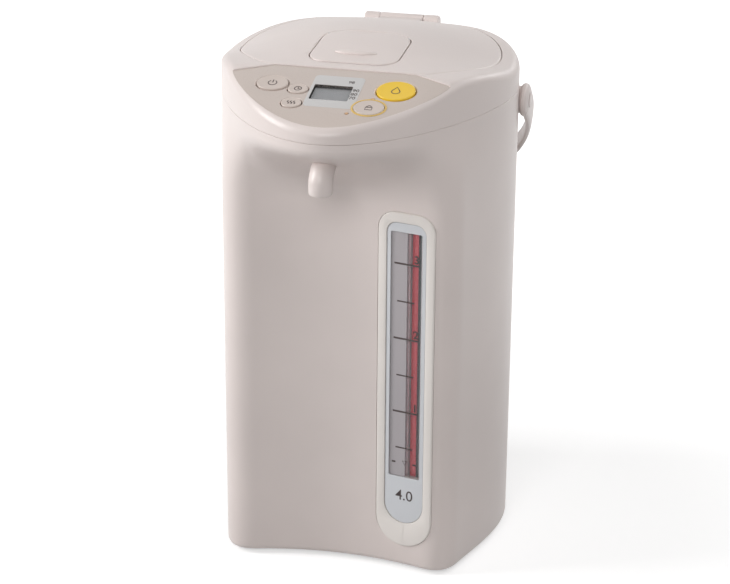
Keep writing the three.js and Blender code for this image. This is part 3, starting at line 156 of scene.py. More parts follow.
# Handle: a round edge of its ear or cap is told as how far in and how far out
pivot_y, pivot_z, handle_reach, handle_sag = 22.0, 300.0, 128.0, math.radians(43)
strap_high, strap_thick, strap_x, strap_draw, strap_in = 15.0, 4.2, 101.4, 1.2, 0.1
swell_long, swell_high, swell_thick, draw_long = 34.0, 6.4, 0.4, 14.0
side_power, edge_power = 0.7, 0.6
ear_radius, ear_inner, ear_outer, ear_play, ear_recess_in = 11.0, top_radius - 0.2, top_radius + 5.2, 0.4, 2.5
ear_inner_edge = ((0.9, 0.0), (0.0, 1.2), (0.0, 2.8), (0.7, 3.9))
ear_outer_edge = ((2.4, -0.7), (5.0, -0.2), (8.0, 0.0))
stem_radius, stem_deep, cap_radius = 2.5, 8.0, 4.8
cap_edge = ((0.0, 0.02), (0.0, 0.25), (0.6, 0.5), (3.8, 0.6))

# How finely the round stretches are divided
rear_steps, side_steps, bend_steps, front_steps = 40, 16, 18, 28
circle_steps, tube_steps, spout_sides, pivot_steps = 96, 48, 64, 64
lid_steps, panel_nose_steps, panel_back_steps = (12, 64), 40, 6
bottom_steps, wall_steps, prow_steps = 6, 12, 40
rim_steps, mouth_steps, dome_edge_steps, hinge_steps, wave_steps = 10, 4, 6, 22, 16
tip_share, weld = 0.03, 1e-7


# Outlines
def bezier(points, shares):
    shares = np.asarray(shares, float)[:, None]
    last = len(points) - 1
    return sum(
        math.comb(last, k) * (1 - shares) ** (last - k) * shares ** k * np.array(point, float)
        for k, point in enumerate(points)
    )


def span(steps, low=0.0, high=1.0):
    return low + (high - low) * np.arange(steps) / steps


def quarter(steps):
    """Pairs of shares round a quarter circle: one grows from 0 to 1 while the other falls to 0."""
    turns = [step / steps * math.pi / 2 for step in range(steps + 1)]
    return [(1 - math.cos(turn), 1 - math.sin(turn)) for turn in turns]


def front_wall(x):
    return foot_front_y - foot_hollow * (x / corner_x) ** 2


def rear_arc(radius):
    angles = (1 - span(rear_steps)) * math.pi / 2
    return np.stack([radius * np.cos(angles), radius * np.sin(angles)], 1)


def foot_half(radius):
    """Half of the horseshoe at the foot: round rear, side, rounded corner and hollow front."""
    corner = np.array([corner_x * radius / foot_radius, foot_front_y - foot_hollow])
    along = np.array([math.cos(side_angle), math.sin(side_angle)])
    end = corner + along * corner_round
    side = bezier([(radius, 0), (radius, -side_straight), end + along * side_bend, end], span(side_steps))
    front_x = corner[0] - corner_round
    bend = bezier([end, corner, (front_x, front_wall(front_x))], span(bend_steps))
    x = front_x * (1 - np.arange(front_steps + 1) / front_steps)
    return np.concatenate([rear_arc(radius), side, bend, np.stack([x, front_wall(x)], 1)])


def prow_half():
    """Half of the outline at the seam, where the front runs out into the prow."""
    flank = [(top_radius, 0), (top_radius, -side_hold), (nose_hold, -prow_reach), (0, -prow_reach)]
    shares = np.concatenate([
        span(side_steps, 0, side_share), span(bend_steps, side_share, front_share),
        span(front_steps, front_share, 1), [1.0],
    ])
    return np.concatenate([rear_arc(top_radius), bezier(flank, shares)])


def body_outline(z, share):
    """The outline at a height, blended by its share from the foot's to the prow's."""
    radius = foot_radius + (top_radius - foot_radius) * z / seam_z
    half = foot_half(radius) * (1 - share) + prow_half() * share
    left = half[1:-1] * [-1, 1]
    return np.concatenate([half[::-1], left])


def inset(outline, depth):
    along = np.roll(outline, -1, 0) - np.roll(outline, 1, 0)
    along /= np.linalg.norm(along, axis=1)[:, None]
    return outline + depth * np.stack([-along[:, 1], along[:, 0]], 1)


def shrunk(outline, depth, near_share=0.995):
    """A deep inset that drops the points which would cross over at a sharp tip."""
    moved = inset(outline, depth)
    side = np.roll(outline, -1, 0) - outline
    rel = moved[:, None] - outline[None]
    along = np.clip((rel * side).sum(2) / (side ** 2).sum(1), 0, 1)
    near = np.linalg.norm(rel - along[..., None] * side, axis=2).min(1)
    return moved[near > depth * near_share]


def raised(outline, z):
    height = z(outline[:, 0], outline[:, 1]) if callable(z) else np.full(len(outline), float(z))
    return np.column_stack([outline, height])


def soft_min(a, b, soft):
    blend = np.clip(0.5 + 0.5 * (b - a) / soft, 0, 1)
    return b * (1 - blend) + a * blend - soft * blend * (1 - blend)


def top_height(x, y, drop=0.0):
    """The pot's top: a dome over the lid that runs into the slope of the panel."""
    t = np.clip(-y / -slope_start, 0, 1)
    rise = t * t * (3 - 2 * t)
    dome = rim_level + rim_rise * rise + (crown + (front_crown - crown) * rise) * (
        1 - (x / top_radius) ** 2) * (1 - (np.maximum(y, 0) / top_radius) ** 2)
    slope = panel_z + panel_sink + (y - panel_y) * math.tan(panel_angle)
    return soft_min(dome, slope, crease_soft) - drop


def lid_outline(grow=0.0):
    """A circle cut off at the front, with two rounded corners."""
    corner_steps, arc_steps = lid_steps
    radius, front = lid_radius + grow, lid_front - grow
    round_y = front + lid_corner
    round_x = math.sqrt((radius - lid_corner) ** 2 - round_y ** 2)
    start = math.atan2(round_y, round_x)
    bend = -math.pi / 2 + (start + math.pi / 2) * np.arange(corner_steps + 1) / corner_steps
    around = start + (math.pi / 2 - start) * np.arange(1, arc_steps + 1) / arc_steps
    right = np.concatenate([
        np.stack([round_x + lid_corner * np.cos(bend), round_y + lid_corner * np.sin(bend)], 1),
        np.stack([radius * np.cos(around), radius * np.sin(around)], 1),
    ])
    return np.concatenate([right, (right[:-1] * [-1, 1])[::-1]])


def panel_outline(grow=0.0):
    """A round nose between two pointed tips, with a straight back."""
    nose = bezier([
        (0, -panel_reach), (panel_nose, -panel_reach),
        (panel_tip_x - tip_draw, -panel_tip_y - tip_hold), (panel_tip_x, -panel_tip_y),
    ], np.arange(panel_nose_steps + 1) / panel_nose_steps)
    back = bezier([nose[-1], (panel_back, 0)], np.arange(1, panel_back_steps + 1) / panel_back_steps)
    right = np.concatenate([nose, back])
    left = (right[1:] * [-1, 1])[::-1]
    return inset(np.concatenate([right, left]), -grow)


def rounded_box(wide, long, round_high, x=0.0, y=0.0, round_low=None, steps=8):
    round_low = round_high if round_low is None else round_low
    points = []
    corners = ((1, -1, round_low), (1, 1, round_high), (-1, 1, round_high), (-1, -1, round_low))
    for index, (side_x, side_y, radius) in enumerate(corners):
        for step in range(steps + 1):
            angle = (index - 1 + step / steps) * math.pi / 2
            points.append((x + side_x * (wide / 2 - radius) + radius * math.cos(angle),
                           y + side_y * (long / 2 - radius) + radius * math.sin(angle)))
    return np.array(points)


def circle_angles(steps):
    return np.arange(steps) / steps * 2 * math.pi


def ellipse(half_wide, half_long, x=0.0, y=0.0, steps=circle_steps):
    angles = circle_angles(steps)
    return np.stack([x + half_wide * np.cos(angles), y + half_long * np.sin(angles)], 1)


def gauge_outline(wide, low, high, top_round, grow=0.0):
    """A tall plate with a half round foot and rounded top corners."""
    return rounded_box(wide + 2 * grow, high - low + 2 * grow, top_round + grow, 0, (low + high) / 2,
                       wide / 2 + grow, 14)


def arc(x, y, radius, start, stop, steps=20):
    angles = np.radians(np.linspace(start, stop, steps))
    return np.stack([x + radius * np.cos(angles), y + radius * np.sin(angles)], 1)


# Meshes
def stand(x, y, z, angle, axis):
    """A place in the pot, turned about one axis."""
    return Matrix.Translation((x, y, z)) @ Matrix.Rotation(angle, 4, axis)


def place(name, mesh):
    thing = bpy.data.objects.new(name, mesh)
    bpy.context.scene.collection.objects.link(thing)
    return thing


def make(name, vertices, faces, matrix=None):
    points = np.asarray(vertices, float)
    if matrix is not None:
        points = points @ np.array(matrix.to_3x3()).T + np.array(matrix.translation)
    points = (points + [0, shift_y, 0]) * mm
    mesh = bpy.data.meshes.new(name)
    mesh.from_pydata(points.tolist(), [], [list(face) for face in faces])
    work = bmesh.new()
    work.from_mesh(mesh)
    bmesh.ops.recalc_face_normals(work, faces=work.faces)
    work.to_mesh(mesh)
    work.free()
    return place(name, mesh)


def loft(name, rings, matrix=None, loop=False):
    """A closed skin through rings of points that all have the same count."""
    count = len(rings[0])
    points = np.concatenate(rings)
    faces = []
    for ring in range(len(rings) if loop else len(rings) - 1):
        low, high = ring * count, (ring + 1) % len(rings) * count
        for index in range(count):
            after = (index + 1) % count
            faces.append((low + index, low + after, high + after, high + index))
    if not loop:
        faces.append(tuple(range(count))[::-1])
        faces.append(tuple(range(len(points) - count, len(points))))
    return make(name, points, faces, matrix)


def soft_rings(outline, low, high, low_round=0.0, high_round=0.0, steps=5):
    """Rings of a slab whose two edges are rounded; low and high are heights or height functions."""
    def level(base, lift):
        return (lambda x, y: base(x, y) + lift) if callable(base) else base + lift
    low_turns = quarter(steps) if low_round else quarter(steps)[:1]
    high_turns = quarter(steps) if high_round else quarter(steps)[:1]
    rings = [raised(inset(outline, low_round * fall), level(low, low_round * rise))
             for rise, fall in low_turns]
    rings += [raised(inset(outline, high_round * rise), level(high, -high_round * fall))
              for rise, fall in high_turns]
    return rings


def closing_rings(outline, middle, surface, last_share, steps):
    """Ever smaller copies of an outline on a surface, which close it towards its middle."""
    return [raised(np.array(middle) + (outline - middle) * share, surface)
            for share in np.linspace(1, last_share, steps)[1:]]


def slab(name, outline, low, high, low_round=0.0, high_round=0.0, matrix=None):
    return loft(name, soft_rings(outline, low, high, low_round, high_round), matrix)


def cut_slab(outline, low, high, matrix=None):
    return slab("cutter", outline, low, high, matrix=matrix)


def turned(name, profile, y=0.0, steps=circle_steps, matrix=None):
    """A lathe form; a profile that doesn't close on itself gets a flat end at each end."""
    angles = circle_angles(steps)
    rings = [np.column_stack([radius * np.cos(angles), y + radius * np.sin(angles), np.full(steps, z)])
             for radius, z in profile]
    return loft(name, rings, matrix, loop=profile[0] == profile[-1])


def apply_modifiers(thing):
    graph = bpy.context.evaluated_depsgraph_get()
    mesh = bpy.data.meshes.new_from_object(thing.evaluated_get(graph))
    thing.modifiers.clear()
    thing.data = mesh


def carve(thing, *cutters, operation="DIFFERENCE"):
    for cutter in cutters:
        step = thing.modifiers.new("cut", "BOOLEAN")
        step.operation, step.solver, step.object = operation, "EXACT", cutter
        apply_modifiers(thing)
        bpy.data.objects.remove(cutter)


def smooth(thing, limit):
    """Smooth shading that keeps the edges sharper than the limit, in degrees."""
    work = bmesh.new()
    work.from_mesh(thing.data)
    bmesh.ops.remove_doubles(work, verts=work.verts, dist=weld)
    bmesh.ops.recalc_face_normals(work, faces=work.faces)
    for face in work.faces:
        face.smooth = True
    for edge in work.edges:
        edge.smooth = len(edge.link_faces) == 2 and edge.calc_face_angle(0) < math.radians(limit)
    work.to_mesh(thing.data)
    work.free()


def dress(thing, material, body, slot_name, *nodes, limit=32.0):
    """Finish a piece: shading, material, the body that it rides on and the nodes it stands for; slot_name is not
    used.
    """
    smooth(thing, limit)
    thing.data.materials.clear()
    thing.data.materials.append(material)
    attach(thing, body)
    if nodes:
        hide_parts(*nodes)


# Materials
def link(tree, *pairs):
    """Links, each from an output to an input."""
    for start, end in pairs:
        tree.links.new(start, end)


def add_node(tree, kind, values):
    """A shader node, with the values of the sockets that nothing is linked to."""
    node = tree.nodes.new(kind)
    for socket, value in values.items():
        node.inputs[socket].default_value = value
    return node


def new_material(name):
    material = bpy.data.materials.new(name)
    material.use_nodes = True
    tree = material.node_tree
    tree.nodes.clear()
    output = tree.nodes.new("ShaderNodeOutputMaterial")
    shader = tree.nodes.new("ShaderNodeBsdfPrincipled")
    tree.links.new(shader.outputs["BSDF"], output.inputs["Surface"])
    return material, tree, shader, output


def linear(rgb):
    return [(c / 255 / 12.92 if c <= 10.3 else ((c / 255 + 0.055) / 1.055) ** 2.4) for c in rgb] + [1.0]


def noise(tree, scale, detail=3.0, stretch=(1, 1, 1)):
    coordinates = tree.nodes.new("ShaderNodeTexCoord")
    mapping = add_node(tree, "ShaderNodeMapping", {"Scale": stretch})
    texture = add_node(tree, "ShaderNodeTexNoise", {"Scale": scale, "Detail": detail})
    tree.links.new(coordinates.outputs["Object"], mapping.inputs["Vector"])
    tree.links.new(mapping.outputs["Vector"], texture.inputs["Vector"])
    return texture.outputs["Fac"]


def spread(tree, value, low, high, noise_low=0.3, noise_high=0.7):
    """The middle of a noise's range, spread from low to high."""
    ramp = add_node(tree, "ShaderNodeMapRange",
                    {"From Min": noise_low, "From Max": noise_high, "To Min": low, "To Max": high})
    tree.links.new(value, ramp.inputs["Value"])
    return ramp.outputs["Result"]


def blend_colors(tree, value, first, second):
    mix = tree.nodes.new("ShaderNodeMix")
    mix.data_type = "RGBA"
    mix.inputs["A"].default_value, mix.inputs["B"].default_value = first, second
    tree.links.new(value, mix.inputs["Factor"])
    return mix.outputs["Result"]


drift_scale, drift_detail, grain_detail, gloss_less, gloss_more, coat_rough = 14.0, 2.0, 4.0, 0.04, 0.05, 0.12
glass_scale, glass_ior = 300.0, 1.46


def moulded(name, rgb, rough=0.38, vary=0.03, grain=0.02, scale=900.0, metal=0.0, stretch=(1, 1, 1),
            coat=0.0):
    """Moulded plastic or metal: slow colour drift, uneven gloss and a fine surface grain."""
    material, tree, shader, _ = new_material(name)
    base = linear(rgb)
    light = [min(1, c * (1 + vary)) for c in base[:3]] + [1]
    dark = [c * (1 - vary) for c in base[:3]] + [1]
    drift = spread(tree, noise(tree, drift_scale, drift_detail, stretch), 0, 1)
    tree.links.new(blend_colors(tree, drift, dark, light), shader.inputs["Base Color"])
    fine = noise(tree, scale, grain_detail, stretch)
    tree.links.new(spread(tree, fine, rough - gloss_less, rough + gloss_more), shader.inputs["Roughness"])
    bump = add_node(tree, "ShaderNodeBump", {"Strength": 1.0, "Distance": grain * mm})
    tree.links.new(fine, bump.inputs["Height"])
    tree.links.new(bump.outputs["Normal"], shader.inputs["Normal"])
    shader.inputs["Metallic"].default_value = metal
    shader.inputs["Coat Weight"].default_value = coat
    shader.inputs["Coat Roughness"].default_value = coat_rough
    return material


def clear(name, rgb, gloss=0.06, haze=0.06):
    """Thin clear plastic or glass: see-through, with a sharp reflection and a little haze."""
    material, tree, shine, output = new_material(name)
    through = add_node(tree, "ShaderNodeBsdfTransparent", {"Color": linear(rgb)})
    shine.inputs["Base Color"].default_value = linear(rgb)
    uneven = spread(tree, noise(tree, glass_scale), gloss, gloss + gloss_less)
    tree.links.new(uneven, shine.inputs["Roughness"])
    edge = add_node(tree, "ShaderNodeFresnel", {"IOR": glass_ior})
    add = add_node(tree, "ShaderNodeMath", {1: haze})
    mix = tree.nodes.new("ShaderNodeMixShader")
    link(tree, (edge.outputs["Fac"], add.inputs[0]), (add.outputs["Value"], mix.inputs["Fac"]),
         (through.outputs["BSDF"], mix.inputs[1]), (shine.outputs["BSDF"], mix.inputs[2]),
         (mix.outputs["Shader"], output.inputs["Surface"]))
    return material


shell = moulded("shell", (220, 209, 205), 0.36)
bezel_mat = moulded("bezel", (226, 220, 215), 0.34)
film = moulded("film", (196, 183, 175), 0.3, 0.02, 0.006, 2200.0, coat=0.3)
key_mat = moulded("key", (205, 192, 184), 0.34, 0.02, 0.01, 1400.0)
label_mat = moulded("label", (207, 209, 213), 0.35, 0.01, 0.004, 1800.0)
surround_mat = moulded("surround", (200, 198, 197), 0.32, 0.01, 0.004, 1800.0)
ring_mat = moulded("ring", (214, 180, 104), 0.34, 0.02, 0.008, 1400.0)
print_mat = moulded("print", (168, 162, 165), 0.22, 0.02, 0.003, 900.0)
yellow = moulded("yellow", (236, 196, 52), 0.32, 0.02, 0.008, 1400.0)
# The backing is whiter than its grey slot: painted light, making up for the shade in the deep gauge slot.
backing_painted_light = moulded("backing", (240, 236, 236), 0.55, 0.03, 0.01)
# A whiter copy of the white plastic for the gauge's trough: painted light against the shade in the deep slot.
trough_white_painted_light = moulded("white_painted_light", (250, 248, 247), 0.3, 0.01, 0.006)
red_mat = moulded("red", (236, 92, 102), 0.35, 0.04, 0.006, 1200.0)
display_mat = moulded("display", (128, 142, 138), 0.3, 0.02, 0.004, 1600.0)
dark_mat = moulded("dark", (58, 56, 54), 0.5, 0.05, 0.03)
inner_mat = moulded("inner", (222, 220, 214), 0.5, 0.02, 0.02)
rubber_mat = moulded("rubber", (74, 73, 71), 0.8, 0.06, 0.05, 500.0)
silicone_mat = moulded("silicone", (217, 214, 208), 0.6, 0.02, 0.02)
steel_mat = moulded("steel", (196, 196, 194), 0.24, 0.03, 0.008, 160.0, metal=1.0, stretch=(1, 1, 14))
board_mat = moulded("board", (47, 107, 69), 0.5, 0.08, 0.03, 400.0)
lamp_mat = moulded("lamp", (205, 166, 128), 0.25, 0.03, 0.004)
ink = moulded("ink", (66, 55, 54), 0.5, 0.05, 0.004)
clear_mat = clear("window", (252, 252, 253), haze=0.0)
glass_mat = clear("glass", (248, 250, 250), 0.03, 0.04)

slot_looks = {
    "shell_plastic": shell, "panel_plastic": film, "label_plastic": label_mat, "yellow_plastic": yellow,
    "clear_plastic": clear_mat, "tube_glass": glass_mat, "display_grey": display_mat,
    "backing_grey": backing_painted_light, "red_strip": red_mat, "lamp_plastic": lamp_mat, "steel": steel_mat,
    "dark_plastic": dark_mat, "white_plastic": inner_mat, "foot_rubber": rubber_mat,
    "silicone": silicone_mat, "board_green": board_mat,
}
node_slot = {part["node"]: part["material_slot"] for part in frame["record"]["subparts"]}
split_degrees = 30
for node, thing in frame["nodes"].items():
    thing.data.materials.clear()
    thing.data.materials.append(slot_looks[node_slot[node]])
    thing.data.polygons.foreach_set("use_smooth", [True] * len(thing.data.polygons))
    split = thing.modifiers.new("edges", "EDGE_SPLIT")
    split.split_angle = math.radians(split_degrees)

# Where the panel and the gauge stand
panel_matrix = stand(0, panel_y, panel_z, panel_angle, "X")
gauge_turn = math.atan2(-2 * foot_hollow * gauge_x, corner_x ** 2)
gauge_matrix = stand(gauge_x, front_wall(gauge_x), 0, gauge_turn, "Z") @ Matrix.Rotation(math.pi / 2, 4, "X")


# Casing
def casing_rings():
    rings = []
    for rise, fall in quarter(bottom_steps):
        z = casing_low + bottom_round * rise
        rings.append(raised(inset(body_outline(z, 0), bottom_round * fall), z))
    for z in np.linspace(rings[-1][0, 2], under_low, wall_steps)[1:-1]:
        rings.append(raised(body_outline(z, 0), z))
    profile = bezier([(0, under_low), (0, under_turn), (1, under_lip), (1, prow_lip)],
                     np.arange(prow_steps + 1) / prow_steps)
    rings += [raised(body_outline(z, share), z) for share, z in profile]
    top = body_outline(seam_z, 1)
    rings.append(raised(top, seam_z - casing_edge))
    rings += [raised(inset(top, casing_edge * s), seam_z - casing_edge * (1 - s)) for s in (0.5, 1)]
    rings.append(raised(inset(top, casing_wall), seam_z))
    inner = [raised(inset(body_outline(z, share), casing_wall), min(z + under_wall, seam_z - under_wall))
             for share, z in profile[::-4]]
    rings += inner + [raised(inset(body_outline(z, 0), casing_wall), z) for z in inner_levels]
    rings.append(raised(inset(body_outline(casing_low, 0), casing_wall + bottom_round), casing_low))
    return rings


def boss(side):
    profile = [(boss_radius - boss_edge, 0), (boss_radius, -boss_edge), (boss_radius, -boss_deep)]
    matrix = stand(side * (top_radius + boss_proud), pivot_y, pivot_z, side * math.pi / 2, "Y")
    return turned("boss", profile, steps=pivot_steps, matrix=matrix)


casing = loft("casing", casing_rings(), loop=True)
carve(casing, cut_slab(gauge_outline(gauge_wide, gauge_low, gauge_high, gauge_top_round, gap / 2),
                       -gauge_deep - 2 * cut_over, gauge_deep + cut_over, gauge_matrix))
inlet_turn = stand(0, foot_radius - inlet_deep, inlet_z, -math.pi / 2, "X")
carve(casing, cut_slab(rounded_box(inlet_wide + 2 * gap, inlet_high + 2 * gap, inlet_round),
                       -inlet_deep, inlet_clear, inlet_turn))
for side in (-1, 1):
    carve(casing, boss(side), operation="UNION")
dress(casing, shell, "body", "shell_plastic", "body_casing")


# Top cover
def flared(outline_at, low, surface, deep=0.6, flare=0.6, over=3.0):
    """A cutter whose mouth widens in a small round where it meets the surface."""
    rings = [raised(outline_at(0), low)]
    for rise, fall in quarter(mouth_steps):
        rings.append(raised(outline_at(flare * rise), lambda x, y: surface(x, y) - deep * fall))
    rings.append(raised(outline_at(flare + over), lambda x, y: surface(x, y) + over))
    rings.append(raised(outline_at(flare + over), clear_z))
    return loft("cutter", rings)


def cover_rings(depth, low, drop, edge_round, low_edge=0.0):
    """Rings of a form with the pot's domed top: up from low, round at the rim and closed over the middle."""
    outline = body_outline(seam_z, 1)
    rings = [raised(inset(outline, depth + low_edge), low)]
    if low_edge:
        rings.append(raised(inset(outline, depth), low + low_edge))
    for rise, fall in quarter(rim_steps):
        edge = inset(outline, depth + edge_round * rise)
        rings.append(raised(edge, lambda x, y: top_height(x, y, drop + edge_round * fall)))
    last = inset(outline, depth + edge_round)
    return rings + closing_rings(last, (0, 0), lambda x, y: top_height(x, y, drop), last_share=0.02, steps=46)


cover = loft("cover", cover_rings(0, seam_z + seam_show, 0, rim_round, cover_low_edge))
hollow = cover_rings(casing_wall, seam_z - hollow_below, cover_wall, rim_round - casing_wall)
carve(cover, loft("cutter", hollow))
collar = slab("collar", lid_outline(lid_gap + collar_wall), collar_low, collar_clear)
carve(collar, loft("cutter", cover_rings(collar_skin, collar_low - collar_below, collar_skin, rim_round)),
      operation="INTERSECT")
carve(cover, collar, operation="UNION")
pocket_rings = [raised(panel_outline(gap), -panel_thick - gap)]
for rise, fall in quarter(mouth_steps):
    pocket_rings.append(raised(panel_outline(gap + pocket_round * rise),
                               panel_sink - pocket_round * pocket_fall_share * fall))
pocket_rings.append(raised(panel_outline(gap + pocket_out), panel_sink + pocket_out))
hole = cut_slab(shrunk(panel_outline(), panel_ledge), *panel_hole, panel_matrix)
carve(cover, flared(lambda grow: lid_outline(lid_gap + grow), collar_low - collar_below, top_height),
      loft("cutter", pocket_rings, panel_matrix), hole)


def hinge_profile(radius, back, low):
    """The hinge block from the side: round over the pin, straight down behind it."""
    angles = np.radians(np.linspace(*hinge_turn, hinge_steps))
    over = np.stack([hinge_y + radius * np.cos(angles), hinge_z + radius * np.sin(angles)], 1)
    return np.concatenate([over, [(back, low), (hinge_y - radius, low)]])


def hinge_block(name, low_x, high_x, radius, back, low, end=1.0):
    outline = hinge_profile(radius, back, low)
    middle = outline.mean(0)
    rings = []
    for x, shrink in ((low_x, end), (low_x + end, 0), (high_x - end, 0), (high_x, end)):
        share = 1 - shrink / radius
        around = middle + (outline - middle) * share
        rings.append(np.column_stack([np.full(len(around), x), around]))
    return loft(name, rings)


for side in (-1, 1):
    ends = sorted((side * (knuckle_half + gap), side * hinge_half))
    cheek = hinge_block("cheek", *ends, cheek_radius, cheek_back, cheek_low)
    carve(cheek, cut_slab(lid_outline(lid_gap), cheek_cut_low, collar_clear))
    carve(cover, cheek, operation="UNION")
dress(cover, shell, "body", "shell_plastic", "top_cover")


# Lid, lever, their underside
def dome_rings(outline, low, edge_round, low_round=0.0, middle=(0, 0), steps=40):
    rings = soft_rings(outline, low, top_height, low_round, edge_round, dome_edge_steps)
    return rings + closing_rings(inset(outline, edge_round), middle, top_height, tip_share, steps)


def lever_outline(grow=0.0):
    return rounded_box(lever_wide + 2 * grow, lever_long + 2 * grow, lever_round + grow, 0, lever_mid,
                       steps=14)


lid = loft("lid", dome_rings(lid_outline(lid_show), lid_low, lid_edge, lid_low_edge))
carve(lid, flared(lambda grow: lever_outline(lever_gap + grow), lever_floor, top_height, lever_mouth,
                  lever_mouth))
arm_slab = rounded_box(2 * knuckle_half, hinge_y - lid_radius + arm_in, arm_round, 0,
                       (hinge_y + lid_radius - arm_in) / 2)
carve(lid, slab("arm", arm_slab, hinge_z - arm_under, hinge_z + arm_over, arm_edge, arm_edge),
      hinge_block("knuckle", -knuckle_half, knuckle_half, knuckle_radius, hinge_y + knuckle_back,
                  hinge_z - knuckle_low, knuckle_end),
      operation="UNION")
dress(lid, shell, "lid", "shell_plastic", "lid_shell")

lever = loft("lever", dome_rings(lever_outline(), lambda x, y: top_height(x, y, lever_thick), lever_edge, 0.0,
                                 (0, lever_mid), steps=24))


def crescent(name, half, y, bow, wide, tall, steps=36, sides=12):
    """A raised smile-shaped finger ridge that thins out towards its ends."""
    rings = []
    for share in np.linspace(-1, 1, steps):
        fade = math.sqrt(max(1 - share ** 2, ridge_end_share))
        x, mid_y = share * half, y - bow * (1 - share ** 2)
        angles = np.linspace(0, 2 * math.pi, sides + 1)[:-1]
        section = np.stack([np.full(sides, x), mid_y + wide * fade * np.cos(angles),
                            top_height(x, mid_y) + tall * fade * np.sin(angles)], 1)
        rings.append(section)
    return loft(name, rings)


dress(lever, shell, "lever", "shell_plastic", "lid_lever")
ridge = crescent("lever_ridge", ridge_half, ridge_y, ridge_bow, ridge_wide, ridge_tall)
dress(ridge, shell, "lever", "shell_plastic", limit=60)

# Vessel and the lid's underside
def bend_points(radius, low, size, steps=8, grow=0.0):
    return [(radius - size + (size + grow) * math.sin(a), low + size - (size + grow) * math.cos(a))
            for a in np.linspace(0, math.pi / 2, steps)]


vessel_profile = (
    [(vessel_eye, floor_z - wall)] + bend_points(vessel_radius, floor_z, foot_bend, grow=wall)
    + [(vessel_radius + wall, shoulder_low), (mouth_radius + wall + neck_out, shoulder_high),
       (mouth_radius + wall, neck_low), (mouth_radius + wall, flange_z), (flange_radius, flange_z),
       (flange_radius + flange_edge, flange_z + flange_thick / 2), (flange_radius, flange_z + flange_thick),
       (mouth_radius + wall, flange_z + flange_thick), (mouth_radius, flange_z + mouth_edge),
       (mouth_radius, neck_low), (mouth_radius + neck_out, shoulder_high - inner_drop),
       (vessel_radius, shoulder_low - inner_drop)]
    + bend_points(vessel_radius, floor_z, foot_bend)[::-1] + [(vessel_eye, floor_z)])
vessel = turned("vessel", vessel_profile, y=vessel_y)
dress(vessel, steel_mat, "body", "steel", "inner_vessel")

flat_rings = [(radius, plate_low) for radius in (plate_eye, *plate_rings, dish - dish_in)]
inner_plate = turned("lid_dish", flat_rings + [
    (dish, plate_low + dish_up), (dish + dish_turn - rim_in, plate_rim - rim_down),
    (dish + dish_turn, plate_rim), (rim, plate_rim), (rim, plate_rim + plate_thick),
    (plate_eye, plate_rim + plate_thick)], y=vessel_y)
dress(inner_plate, steel_mat, "lid", "steel", "lid_inner_plate")
gasket_start = (gasket_in, gasket_low + gasket_lip)
gasket = turned("gasket", [
    gasket_start, (gasket_in + gasket_soft, gasket_low), (gasket_out - gasket_soft, gasket_low),
    (gasket_out, gasket_low + gasket_soft), (gasket_out, gasket_high - gasket_top),
    (gasket_out - gasket_top, gasket_high), (gasket_in + gasket_top_in, gasket_high),
    (gasket_in, gasket_high - gasket_top), gasket_start], y=vessel_y)
dress(gasket, silicone_mat, "lid", "silicone", "lid_gasket")

# Spout: an elbow that leans back into the underside, with a soft tip and its bore
def elbow_rings(path, radius, steps=12, step_share=0.01):
    turn = circle_angles(spout_sides)
    rings = []
    for share in np.arange(steps + 1) / steps:
        y, z = bezier(path, [share])[0]
        out, across = radius * np.cos(turn), radius * np.sin(turn)
        after = bezier(path, [min(share + step_share, 1)])[0] - bezier(path, [max(share - step_share, 0)])[0]
        along = after / np.linalg.norm(after)
        rings.append(np.column_stack([out, y + across * along[1], z - across * along[0]]))
    return rings


spout_path = [(spout_y, spout_neck), (spout_y, spout_neck + spout_hold),
              (spout_y + spout_hold, spout_top - spout_hold), (spout_back, spout_top)]
tip = [(spout_bore, spout_neck), (spout_bore, spout_tip + bore_edge), (spout_bore + bore_edge, spout_tip)]
tip += [(spout_wide - inward, spout_tip + up) for inward, up in tip_edge]
spout = loft("spout", [raised(ellipse(radius, radius, 0.0, spout_y, spout_sides), z) for radius, z in tip]
             + elbow_rings(spout_path, spout_wide))
dress(spout, shell, "body", "shell_plastic", "spout_nozzle")

# Gauge
def window_hole():
    outline = rounded_box(window_wide, window_high - window_low, window_round, 0, window_mid)
    return cut_slab(outline, -gauge_cut, gauge_cut, gauge_matrix)


bezel = slab("bezel", gauge_outline(gauge_wide, gauge_low, gauge_high, gauge_top_round),
             gauge_proud - gauge_deep, gauge_proud, 0.0, gauge_edge, gauge_matrix)
pocket = [raised(gauge_outline(label_wide, label_low, label_high, label_top_round, gap + grow), z)
          for z, grow in [(label_back - gap, 0)] + [(gauge_proud - sunk, grow) for sunk, grow in bezel_mouth]]
carve(bezel, loft("cutter", pocket, gauge_matrix), window_hole())
dress(bezel, bezel_mat, "body", "shell_plastic", "gauge_bezel")
label = slab("gauge_plate", gauge_outline(label_wide, label_low, label_high, label_top_round), label_back,
             label_front, 0, gauge_label_edge, gauge_matrix)
carve(label, window_hole())
dress(label, label_mat, "body", "label_plastic", "gauge_label")


# Printed marks: flat strips and numerals a hair above their surface
def ribbon(points, wide, low, high, matrix, loop=False):
    points = np.asarray(points, float)
    if loop:
        along = np.roll(points, -1, 0) - np.roll(points, 1, 0)
    else:
        along = np.gradient(points, axis=0)
    along /= np.linalg.norm(along, axis=1)[:, None]
    off = np.stack([-along[:, 1], along[:, 0]], 1) * wide / 2
    left, right = points + off, points - off
    rings = [np.concatenate([raised(left[i:i + 1], low), raised(right[i:i + 1], low),
                             raised(right[i:i + 1], high), raised(left[i:i + 1], high)])
             for i in range(len(points))]
    return loft("mark", rings, matrix, loop=loop)


